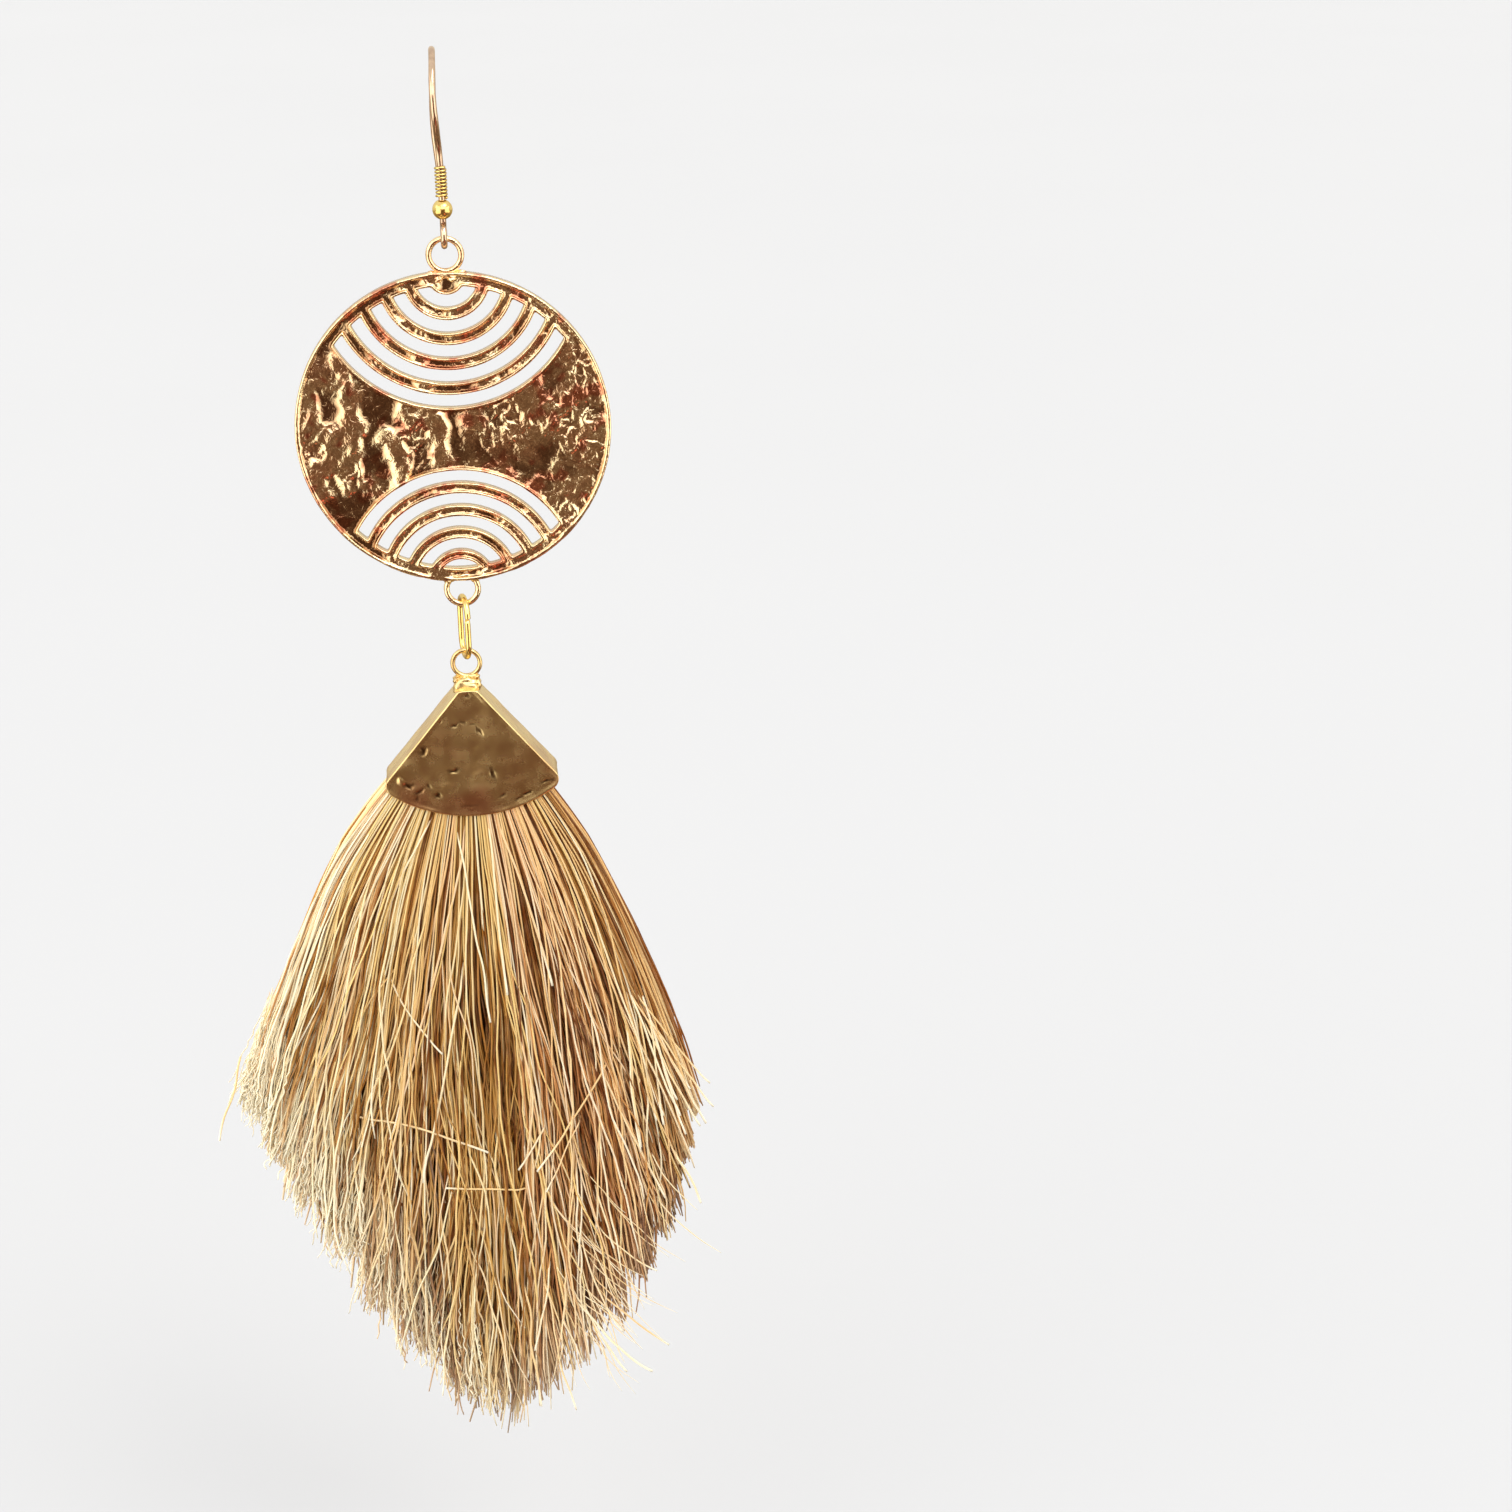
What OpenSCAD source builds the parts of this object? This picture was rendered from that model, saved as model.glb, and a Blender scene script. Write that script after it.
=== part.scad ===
// Tassel earring: an ear wire with coil and bead, a pierced disc, a jump ring and a capped fan fringe.
// Millimetres. +Z is up and the disc faces -Y. Every piece below the ear hangs on the Z axis.
// The origin is the point on the inner side of the bow, straight above the drop, where the ear carries it.

/* [Ear wire] */
// Diameter of the ear wire
wire_d = 0.65; // [0.5:0.05:0.8]
// Radius of the bow, to the middle of the wire
bow_r = 4.6; // [4:0.1:6]
// How far the middle of the bow lies behind the drop
bow_back = 2.4; // [1.6:0.1:3]
// Height from the middle of the bow down to the coil
front_leg_h = 6.1; // [5:0.1:9]
// Length of the straight tail behind the ear
tail_l = 9; // [6:0.5:14]
// How far the hook has swivelled about the drop, in degrees
hook_turn = 1; // [-12:1:12]
// Radius of the eye under the bead, to the middle of the wire
eye_r = 1.03; // [0.9:0.01:1.3]
// Radius of the bend that leads from the stem into the eye
eye_bend_r = 0.6; // [0.5:0.05:0.8]
// How far the end of the eye stops short of its top, in degrees
eye_open = 32; // [32:1:60]

/* [Coil and bead] */
// Length of the coil
coil_l = 3.25; // [2:0.05:5]
// Diameter of the coil's own wire
coil_wire_d = 0.27; // [0.2:0.01:0.32]
// Number of turns in the coil
coil_turns = 9; // [6:1:14]
// Diameter of the bead
bead_d = 2; // [1.6:0.1:3]
// Clearance between the wire and what is threaded on it
thread_gap = 0.02; // [0.01:0.005:0.05]
// Clearance between neighbours along the wire
stack_gap = 0.05; // [0.02:0.01:0.1]

/* [Disc] */
// Radius of the disc
disc_r = 15.75; // [13:0.25:20]
// Thickness of the disc with its raised edges
disc_t = 1.3; // [1:0.05:2]
// Width of the solid rim outside the slots
rim_w = 1.35; // [1:0.05:2]
// Height of the raised edges over the hammered field
lip_h = 0.2; // [0.1:0.05:0.4]
// Width of the raised edge round each slot
lip_w = 0.26; // [0.15:0.01:0.35]
// Width of the raised edge round the disc
rim_lip_w = 0.45; // [0.3:0.05:0.6]

/* [Slots above] */
// How far inside the disc's top the upper arcs have their centre
top_inset = 0.4; // [0.2:0.1:1]
// Inner radius of the first upper slot
top_first_r = 1.85; // [1.5:0.05:2.5]
// Step from one upper slot to the next
top_pitch = 2.5; // [2:0.05:2.6]
// Width of an upper slot
top_slot_w = 1.3; // [0.8:0.05:1.5]
// Number of upper slots
top_slots = 5; // [3:1:5]

/* [Slots below] */
// How far outside the disc's foot the lower arcs have their centre
foot_outset = 0.15; // [0:0.05:0.5]
// Radius of the lens-shaped opening at the foot
lens_r = 2.45; // [2.2:0.05:2.6]
// Inner radius of the first lower slot
foot_first_r = 3.4; // [3.2:0.05:3.6]
// Step from one lower slot to the next
foot_pitch = 2.35; // [2:0.05:2.5]
// Width of a lower slot
foot_slot_w = 1.25; // [0.8:0.05:1.4]
// Number of lower slots
foot_slots = 4; // [2:1:4]

/* [Rings] */
// Diameter of the wire of the disc's two rings
ring_wire_d = 0.6; // [0.4:0.05:0.65]
// Radius of the upper ring, to the middle of its wire
top_ring_r = 1.6; // [1.5:0.02:2]
// Height of the upper ring's centre over the rim
top_ring_rise = 1.61; // [1.5:0.01:1.8]
// Radius of the lower ring, to the middle of its wire
foot_ring_r = 1.6; // [1.5:0.02:2]
// Depth of the lower ring's centre under the rim
foot_ring_drop = 0.95; // [0.8:0.05:1.6]
// Diameter of the wire of the cap's ring
cap_ring_wire_d = 0.5; // [0.4:0.05:0.55]
// Radius of the cap's ring, to the middle of its wire
cap_ring_r = 1.4; // [1.3:0.01:1.8]
// Play between two wires that hang in each other
hang_play = 0.1; // [0.08:0.01:0.15]

/* [Jump ring] */
// Diameter of the jump ring's wire
link_wire_d = 0.6; // [0.5:0.05:0.75]
// Height of the oval, to the middle of the wire
link_h = 6.35; // [5:0.05:8]
// Width of the oval, to the middle of the wire
link_w = 3.5; // [3:0.1:4]
// Width of the slit where the ring was closed
link_slit = 0.12; // [0.05:0.01:0.2]
// Height of the slit over the middle of the oval
link_slit_rise = 1.25; // [0.5:0.05:1.3]
// How far the jump ring has swivelled about the drop, in degrees
link_turn = 12; // [0:1:18]

/* [Cap] */
// Radius of the cap's fan, from its apex to the rounded mouth
cap_r = 14.8; // [11:0.1:17]
// Half of the fan's angle, in degrees
cap_half_angle = 40; // [34:1:46]
// Depth of the apex under the centre of the cap's ring
cap_apex_drop = 1.25; // [1.1:0.05:1.6]
// Width of the flat top where the fan begins
cap_top_w = 2; // [1:0.1:2.4]
// Thickness of the cap at its top
cap_top_t = 4.1; // [3:0.1:4.4]
// Thickness of the cap at its mouth
cap_mouth_t = 5.1; // [4.5:0.1:7]
// Radius of the two rounded corners at the mouth
cap_corner_r = 1.2; // [0.5:0.1:1.5]
// Thickness of the cap's wall
cap_wall = 0.5; // [0.4:0.05:0.7]
// Width of the neck that holds the ring
cap_neck_w = 2.8; // [2.4:0.1:3.2]
// Front to back size of the neck
cap_neck_t = 2.5; // [1.5:0.1:3]

/* [Fringe] */
// Length of the longest strands below the cap's mouth
fringe_l = 75; // [50:1:90]
// Thickness of the fringe below the cap, front to back
fringe_t = 9; // [6:0.5:14]
// Length over which a side strand loses most of its slant
fringe_bend_l = 54; // [30:1:80]
// Number of locks across the fan
locks = 20; // [12:1:30]
// How much thinner the fringe is in a groove than on a lock, as a share
groove = 0.28; // [0.1:0.02:0.4]
// Clearance between the fringe's head and the cap's walls
head_gap = 0.1; // [0.05:0.01:0.2]
// Distance from the fan's apex to the top of the fringe's head
head_r = 4; // [3.5:0.1:6]

/* [Hidden] */
$fn = 64;
gold = [0.80, 0.62, 0.30];
rose_gold = [0.72, 0.50, 0.28];
yellow_gold = [0.86, 0.72, 0.28];
antique_gold = [0.60, 0.47, 0.27];
thread_gold = [0.84, 0.67, 0.45];

// Heights on the drop line, from the ear down
bow_z = -sqrt(pow(bow_r - wire_d / 2, 2) - pow(bow_back, 2));
coil_top = bow_z - front_leg_h;
coil_foot = coil_top - coil_l;
thread_r = wire_d / 2 + thread_gap;
bead_half = sqrt(pow(bead_d / 2, 2) - pow(thread_r, 2));
bead_z = coil_foot - stack_gap - bead_half;
stem_foot = bead_z - bead_half - stack_gap;
eye_angle = acos(eye_bend_r / (eye_r + eye_bend_r));
eye_z = stem_foot - (eye_r + eye_bend_r) * sin(eye_angle);
eye_seat = eye_z - eye_r + wire_d / 2;
top_ring_z = eye_seat + hang_play + ring_wire_d / 2 - top_ring_r;
disc_z = top_ring_z - top_ring_rise - disc_r;
foot_ring_z = disc_z - disc_r - foot_ring_drop;
foot_ring_seat = foot_ring_z - foot_ring_r + ring_wire_d / 2;
link_z = foot_ring_seat + hang_play + link_wire_d / 2 - link_h / 2;
link_seat = link_z - link_h / 2 + link_wire_d / 2;
cap_ring_z = link_seat + hang_play + cap_ring_wire_d / 2 - cap_ring_r;
apex_z = cap_ring_z - cap_apex_drop;

// The front leg steps forward in two equal bends
leg_step = bow_r - bow_back;
leg_angle = 2 * atan(leg_step / front_leg_h);
leg_r = front_leg_h / (2 * sin(leg_angle));

slot_reach = disc_r - rim_w;
knuckle_swell = 0.02;
cut = 1;

// The fringe fans out from its own apex, set in from the cap's by the wall and the clearance
fan_inset = (cap_wall + head_gap) / sin(cap_half_angle);
fan_mouth_r = cap_r - fan_inset;
cap_top = cap_top_w / 2 / tan(cap_half_angle);
arc_steps = 10;
steps = 14;
// Across the fan from left to right: place as a share of its half angle, strand length as a share of fringe_l
fall = [
    // place, length
    [-1.00, 0.56],
    [-0.85, 0.60],
    [-0.70, 0.66],
    [-0.50, 0.76],
    [-0.30, 0.87],
    [-0.10, 0.99],
    [ 0.00, 1.00],
    [ 0.10, 0.95],
    [ 0.30, 0.89],
    [ 0.50, 0.81],
    [ 0.70, 0.71],
    [ 0.85, 0.63],
    [ 1.00, 0.54]
];
// The right half of the fan is a little narrower than the left
right_spread = 0.85;
// How much shorter the fringe is in a groove than on a lock, as a share
notch = 0.07;
// How far the locks differ in length, as a share, and how fast that changes from one to the next, in degrees
unevenness = 0.03;
uneven_angle = 100;
// How much thinner the fringe is at its two sides than in its middle, as a share
edge_thinning = 0.6;
// Distance below the mouth over which the grooves reach their depth
groove_start = fringe_l / 6;

// Lays a drawing of the XY plane into the YZ plane
module side_on() {
    rotate([90, 0, 90]) children();
}

// Lays a drawing of the XY plane into the XZ plane, seen from the front
module face_on() {
    rotate([90, 0, 0]) children();
}

// One bend of a wire of diameter d, about a centre, from an angle over a sweep
module bend(centre, r, from, sweep, d) {
    translate(centre) rotate([0, 0, from]) rotate_extrude(angle = sweep)
        translate([r, 0]) circle(d = d);
}

// One straight wire of diameter d, up from a point of the drawing plane
module upright(foot, h, d) {
    translate(foot) rotate([-90, 0, 0]) cylinder(h = h, d = d);
}

module wire_ring(z, r, d) {
    translate([0, 0, z]) face_on() rotate_extrude() translate([r, 0]) circle(d = d);
}

// A knuckle that joins two stretches of wire, a hair fuller than the wire
module knuckle(place) {
    translate(place) sphere(d = wire_d + knuckle_swell);
}

module ear_wire() {
    leg_middle = [leg_r * cos(leg_angle) - leg_r, coil_top + leg_r * sin(leg_angle)];
    eye_entry = eye_r * [cos(eye_angle), sin(eye_angle)] + [0, eye_z];
    color(gold) rotate([0, 0, hook_turn]) side_on() {
        upright([bow_back + bow_r, bow_z - tail_l], tail_l, wire_d);
        bend([bow_back, bow_z], bow_r, 0, 180, wire_d);
        bend([leg_r - leg_step, bow_z], leg_r, 180, leg_angle, wire_d);
        bend([-leg_r, coil_top], leg_r, 0, leg_angle, wire_d);
        upright([0, stem_foot], coil_top - stem_foot, wire_d);
        bend([eye_bend_r, stem_foot], eye_bend_r, 180, eye_angle, wire_d);
        bend([0, eye_z], eye_r, 90 + eye_open, 270 + eye_angle - eye_open, wire_d);
        knuckle([bow_back + bow_r, bow_z]);
        knuckle([-leg_step, bow_z]);
        knuckle(leg_middle);
        knuckle([0, coil_top]);
        knuckle([0, stem_foot]);
        knuckle(eye_entry);
    }
}

module wire_coil() {
    pitch = (coil_l - coil_wire_d) / (coil_turns - 1);
    color(gold) rotate_extrude() union() {
        translate([thread_r, coil_foot + coil_wire_d / 2])
            square([coil_wire_d / 2, coil_l - coil_wire_d]);
        for (i = [0 : coil_turns - 1])
            translate([thread_r + coil_wire_d / 2, coil_foot + coil_wire_d / 2 + i * pitch])
                circle(d = coil_wire_d);
    }
}

module bead() {
    color(yellow_gold) translate([0, 0, bead_z]) difference() {
        sphere(d = bead_d);
        cylinder(h = bead_d + cut, r = thread_r, center = true);
    }
}

// One slot between two arcs, grown by an edge width, with its ends on a circle about the disc
module slot(centre_y, inner, outer, edge) {
    intersection() {
        translate([0, centre_y]) difference() {
            circle(r = outer + edge);
            circle(r = inner - edge);
        }
        circle(r = slot_reach + edge);
    }
}

module slots(edge) {
    top_y = disc_r - top_inset;
    foot_y = -disc_r - foot_outset;
    for (i = [0 : top_slots - 1])
        slot(top_y, top_first_r + i * top_pitch, top_first_r + i * top_pitch + top_slot_w, edge);
    for (i = [0 : foot_slots - 1])
        slot(foot_y, foot_first_r + i * foot_pitch, foot_first_r + i * foot_pitch + foot_slot_w, edge);
    intersection() {
        translate([0, foot_y]) circle(r = lens_r + edge);
        circle(r = slot_reach + edge);
    }
}

module disc() {
    color(rose_gold) {
        translate([0, 0, disc_z]) face_on() difference() {
            cylinder(h = disc_t, r = disc_r, center = true);
            linear_extrude(disc_t + cut, center = true) slots(0);
            translate([0, 0, disc_t / 2 - lip_h]) linear_extrude(cut) difference() {
                circle(r = disc_r - rim_lip_w);
                slots(lip_w);
            }
        }
        wire_ring(top_ring_z, top_ring_r, ring_wire_d);
        wire_ring(foot_ring_z, foot_ring_r, ring_wire_d);
    }
}

module jump_ring() {
    arc_r = link_w / 2;
    leg = link_h - link_w;
    color(yellow_gold) translate([0, 0, link_z]) rotate([0, 0, link_turn]) side_on() difference() {
        union() {
            bend([0, leg / 2], arc_r, 0, 180, link_wire_d);
            bend([0, -leg / 2], arc_r, 180, 180, link_wire_d);
            upright([arc_r, -leg / 2], leg, link_wire_d);
            upright([-arc_r, -leg / 2], leg, link_wire_d);
        }
        translate([-arc_r, link_slit_rise]) cube([link_wire_d + cut, link_slit, link_wire_d + cut], center = true);
    }
}

// Direction that leans away from straight down by an angle
function heading(angle) = [sin(angle), -cos(angle)];

// Front outline of the cap's fan about its apex: a flat top, straight sides, round corners and a round mouth
function fan(r, side, corner, top) = let (
    turn = side - asin(corner / (r - corner)),
    sweep = 90 + side - turn,
    right = concat(
        [[top * tan(side), -top]],
        [for (i = [0 : arc_steps]) let (a = side - sweep * i / arc_steps)
            (r - corner) * heading(turn) + corner * [cos(a), sin(a)]],
        [for (i = [1 : arc_steps - 1]) r * heading(turn * (1 - i / arc_steps))])
) concat(right, [[0, -r]], [for (i = [len(right) - 1 : -1 : 0]) [-right[i][0], right[i][1]]]);

// Half the cap's thickness at a depth under its apex
function cap_half(depth) = cap_top_t / 2
    + (depth - cap_top) * (cap_mouth_t - cap_top_t) / 2 / (cap_r - cap_top);

// Side view of a fan that thickens from a depth under the apex to another, set in by a wall
function side_view(top, foot, wall) = let (
    a = cap_half(top) - wall,
    b = cap_half(foot) - wall
) [[-a, -top], [a, -top], [b, -foot], [-b, -foot]];

module cap_shell() {
    hollow_r = cap_r + cut;
    hollow_side = hollow_r * tan(cap_half_angle);
    difference() {
        intersection() {
            face_on() linear_extrude(cap_mouth_t + cut, center = true)
                polygon(fan(cap_r, cap_half_angle, cap_corner_r, cap_top));
            side_on() linear_extrude(2 * cap_r, center = true)
                polygon(side_view(cap_top, cap_r, 0));
        }
        intersection() {
            translate([0, 0, -cap_wall / sin(cap_half_angle)])
                face_on() linear_extrude(cap_mouth_t, center = true)
                    polygon([[0, 0], [hollow_side, -hollow_r], [-hollow_side, -hollow_r]]);
            side_on() linear_extrude(2 * cap_r, center = true)
                polygon(side_view(cap_top + cap_wall, hollow_r, cap_wall));
        }
    }
}

module tassel_cap() {
    neck_foot = -cap_neck_w / 2 / tan(cap_half_angle) - cap_wall / 2;
    neck_head = cap_apex_drop - cap_ring_r;
    color(antique_gold) {
        translate([0, 0, apex_z]) {
            cap_shell();
            translate([-cap_neck_w / 2, -cap_neck_t / 2, neck_foot])
                cube([cap_neck_w, cap_neck_t, neck_head - neck_foot]);
        }
        wire_ring(cap_ring_z, cap_ring_r, cap_ring_wire_d);
    }
}

// Places on one strand that leaves the fan at an angle and bends down under its weight
function slant(angle, along) = along < 0 ? angle : angle * exp(-along / fringe_bend_l);
function strand(angle, below) = let (
    start = head_r - fan_mouth_r,
    step = (below - start) / steps)
    [for (k = 0, p = head_r * heading(angle); k <= steps;
        p = p + step * heading(slant(angle, start + (k + 0.5) * step)), k = k + 1)
        [p[0], p[1], start + k * step]];

// Half the thickness of the fringe at a place along a strand: the hollow's inside the cap, then swelling out
function swell(depth, mouth_depth, along) = let (
    held = cap_half(min(depth, mouth_depth) + fan_inset) - cap_wall - head_gap
) held + (fringe_t / 2 - held) * (1 - exp(-3 * max(0, along) / fringe_l));

module fringe() {
    columns = 2 * locks;
    across = columns + 1;
    front = [for (c = [0 : columns]) let (
        place = 2 * c / columns - 1,
        on_lock = c % 2,
        angle = place * cap_half_angle * (place > 0 ? right_spread : 1),
        uneven = 1 + unevenness * sin(c * uneven_angle),
        below = fringe_l * lookup(place, fall) * (1 - notch * (1 - on_lock)) * uneven)
        [for (p = strand(angle, below)) let (
            free = min(1, max(0, p[2] / groove_start)),
            half = swell(-p[1], fan_mouth_r * cos(angle), p[2]) * (1 - edge_thinning * free * pow(abs(place), 3))
                * (1 - groove * free * (1 - on_lock)))
            [p[0], -half, p[1]]]];
    levels = steps + 1;
    points = concat(
        [for (c = [0 : columns], k = [0 : steps]) front[c][k]],
        [for (c = [0 : columns], k = [0 : steps]) [front[c][k][0], -front[c][k][1], front[c][k][2]]]);
    back = across * levels;
    faces = concat(
        [for (c = [0 : columns - 1], k = [0 : steps - 1]) let (i = c * levels + k)
            [i, i + levels, i + levels + 1, i + 1]],
        [for (c = [0 : columns - 1], k = [0 : steps - 1]) let (i = back + c * levels + k)
            [i, i + 1, i + levels + 1, i + levels]],
        [for (k = [0 : steps - 1]) [k, k + 1, back + k + 1, back + k]],
        [for (k = [0 : steps - 1]) let (i = columns * levels + k)
            [i, back + i, back + i + 1, i + 1]],
        [for (c = [0 : columns - 1]) let (i = c * levels)
            [i, back + i, back + i + levels, i + levels]],
        [for (c = [0 : columns - 1]) let (i = c * levels + steps)
            [i, i + levels, back + i + levels, back + i]]);
    color(thread_gold) translate([0, 0, apex_z - fan_inset]) polyhedron(points, faces);
}

ear_wire();
wire_coil();
bead();
disc();
jump_ring();
tassel_cap();
fringe();
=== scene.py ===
"""Tassel earring: the looks of a pierced hammered disc, a wire hook, a dented cap and a thread fringe.

Lengths are in millimetres here and turned into metres where a mesh is made. The frame's own axes hold:
+Z up along the drop, -Y towards the viewer, and the origin where the hook hangs in the ear.
"""

import math

import bmesh
import bpy
import numpy as np
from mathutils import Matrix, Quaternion, Vector
from mathutils.geometry import delaunay_2d_cdt


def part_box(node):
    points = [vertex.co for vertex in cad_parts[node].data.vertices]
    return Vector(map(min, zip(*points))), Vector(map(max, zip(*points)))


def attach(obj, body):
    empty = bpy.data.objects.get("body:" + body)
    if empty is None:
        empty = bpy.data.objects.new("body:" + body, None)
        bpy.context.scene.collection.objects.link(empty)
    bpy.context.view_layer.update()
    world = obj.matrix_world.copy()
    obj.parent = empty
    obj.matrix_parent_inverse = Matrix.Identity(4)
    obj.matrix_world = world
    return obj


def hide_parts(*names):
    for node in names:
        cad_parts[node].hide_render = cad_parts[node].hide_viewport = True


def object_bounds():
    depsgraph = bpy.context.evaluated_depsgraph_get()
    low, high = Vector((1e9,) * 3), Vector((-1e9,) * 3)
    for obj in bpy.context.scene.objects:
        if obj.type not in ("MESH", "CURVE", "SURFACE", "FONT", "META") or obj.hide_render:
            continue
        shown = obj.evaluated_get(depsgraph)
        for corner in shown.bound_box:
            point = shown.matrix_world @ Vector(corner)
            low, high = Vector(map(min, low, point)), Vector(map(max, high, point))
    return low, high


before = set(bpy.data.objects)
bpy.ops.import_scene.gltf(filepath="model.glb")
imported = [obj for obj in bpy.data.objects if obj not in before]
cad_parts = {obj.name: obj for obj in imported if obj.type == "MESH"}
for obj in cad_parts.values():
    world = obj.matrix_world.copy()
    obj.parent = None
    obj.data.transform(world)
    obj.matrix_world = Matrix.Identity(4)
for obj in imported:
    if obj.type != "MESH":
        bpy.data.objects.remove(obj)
cad_low, cad_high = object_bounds()

MM = 0.001
TAU = 2 * math.pi

# Camera: the photograph is IMAGE_SIDE pixels square, taken from the front and above, a little from the left
IMAGE_SIDE = 1512
FOCAL_PIXELS = 2667
SENSOR = 36
CAMERA_DISTANCE = 283
CAMERA_ELEVATION = math.radians(20)
CAMERA_AZIMUTH = math.radians(-6)
CAMERA_ROLL = math.radians(-0.8)
CAMERA_AIM = (30, 0, -72.2)

# Hook, coil and bead
WIRE_D = 0.65
BOW_R = 4.6
BOW_BACK = 2.4
FRONT_LEG_H = 6.1
TAIL_L = 9
HOOK_TURN = math.radians(1)
EYE_R = 1.03
EYE_BEND_R = 0.6
EYE_OPEN = math.radians(32)
COIL_WIRE_D = 0.27
COIL_TURNS = 9
THREAD_R = WIRE_D / 2 + 0.02

# Disc
DISC_R = 15.75
DISC_T = 1.3
RIM_W = 1.35
LIP_H = 0.2
LIP_W = 0.3
RIM_LIP_W = 0.45
SLOT_REACH = DISC_R - RIM_W
TOP_INSET = 0.4
TOP_SLOTS = [(1.85 + 2.5 * i, 3.15 + 2.5 * i) for i in range(5)]
FOOT_OUTSET = 0.15
FOOT_SLOTS = [(3.4 + 2.35 * i, 4.65 + 2.35 * i) for i in range(4)]
LENS_R = 2.45
RING_WIRE_D = 0.6
TOP_RING_R = 1.6
TOP_RING_RISE = 1.61
FOOT_RING_R = 1.6
FOOT_RING_DROP = 0.95

# Jump ring
LINK_WIRE_D = 0.6
LINK_H = 6.35
LINK_W = 3.5
LINK_SLIT = 0.12
LINK_SLIT_RISE = 1.25
LINK_TURN = math.radians(12)

# Cap
CAP_R = 14.8
CAP_HALF_ANGLE = math.radians(40)
CAP_APEX_DROP = 1.25
CAP_TOP_W = 2
CAP_TOP_T = 4.1
CAP_MOUTH_T = 5.1
CAP_CORNER_R = 1.2
CAP_WALL = 0.5
CAP_RING_R = 1.4
CAP_RING_WIRE_D = 0.5

# Fringe
FRINGE_L = 75
FRINGE_T = 9
FRINGE_BEND_L = 54
HEAD_GAP = 0.1
RIGHT_SPREAD = 0.85
EDGE_THINNING = 0.6
# Place across the fan from -1 at the left to 1 at the right, and strand length there as a share of FRINGE_L
FALL = [
    (-1.00, 0.56),
    (-0.85, 0.60),
    (-0.70, 0.66),
    (-0.50, 0.76),
    (-0.30, 0.87),
    (-0.10, 0.99),
    (0.00, 1.00),
    (0.10, 0.95),
    (0.30, 0.89),
    (0.50, 0.81),
    (0.70, 0.71),
    (0.85, 0.63),
    (1.00, 0.54),
]


def centre_of(node):
    """Middle of a CAD node's box, in millimetres."""
    low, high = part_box(node)
    return (low + high) / 2 / MM


def top_of(node):
    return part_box(node)[1].z / MM


def foot_of(node):
    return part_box(node)[0].z / MM


# Heights on the drop line, from the frame
BOW_Z = top_of("ear_wire") - WIRE_D / 2 - BOW_R
COIL_TOP = BOW_Z - FRONT_LEG_H
EYE_Z = foot_of("ear_wire") + WIRE_D / 2 + EYE_R
BEAD_Z = centre_of("bead").z
TOP_RING_Z = top_of("disc") - RING_WIRE_D / 2 - TOP_RING_R
DISC_Z = TOP_RING_Z - TOP_RING_RISE - DISC_R
FOOT_RING_Z = DISC_Z - DISC_R - FOOT_RING_DROP
LINK_Z = centre_of("jump_ring").z
CAP_RING_Z = top_of("tassel_cap") - CAP_RING_WIRE_D / 2 - CAP_RING_R
APEX_Z = CAP_RING_Z - CAP_APEX_DROP


def unit(value):
    """A value held between 0 and 1."""
    return np.clip(value, 0, 1)


def looked_up(table, place):
    """Value at a place, from a table of places and values."""
    return np.interp(place, *np.transpose(table))


# Meshes from arrays

def new_object(name, points, groups):
    """A mesh object from points in millimetres and arrays of faces, each array with one face per row."""
    mesh = bpy.data.meshes.new(name)
    corners = np.concatenate([np.asarray(g, np.int32).ravel() for g in groups])
    sizes = np.concatenate([np.full(len(g), np.shape(g)[1], np.int32) for g in groups])
    starts = np.concatenate([[0], np.cumsum(sizes)[:-1]]).astype(np.int32)
    mesh.vertices.add(len(points))
    mesh.vertices.foreach_set("co", (np.asarray(points, np.float64) * MM).astype(np.float32).ravel())
    mesh.loops.add(len(corners))
    mesh.loops.foreach_set("vertex_index", corners)
    mesh.polygons.add(len(sizes))
    mesh.polygons.foreach_set("loop_start", starts)
    mesh.polygons.foreach_set("use_smooth", np.full(len(sizes), True))
    mesh.update(calc_edges=True)
    mesh.validate()
    piece = bpy.data.objects.new(name, mesh)
    bpy.context.scene.collection.objects.link(piece)
    return piece


def face_outwards(piece):
    """Turns every face of a closed mesh outwards."""
    work = bmesh.new()
    work.from_mesh(piece.data)
    bmesh.ops.recalc_face_normals(work, faces=work.faces)
    work.to_mesh(piece.data)
    work.free()


def solid(name, points, groups):
    """A mesh object whose faces all point outwards."""
    piece = new_object(name, points, groups)
    face_outwards(piece)
    return piece


def give(piece, material, body, slot, *nodes):
    """Finishes a piece: its material, the body it rides on and the nodes it stands for. slot is not used."""
    piece.data.materials.clear()
    piece.data.materials.append(material)
    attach(piece, body)
    if nodes:
        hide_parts(*nodes)
    return piece


def values_on(piece, name, values):
    """Stores one number for each vertex, for the material to read. Vertices past the last value get 0."""
    attribute = piece.data.attributes.new(name, "FLOAT", "POINT")
    filled = np.zeros(len(piece.data.vertices), np.float32)
    filled[: len(values)] = values
    attribute.data.foreach_set("value", filled)


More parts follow.
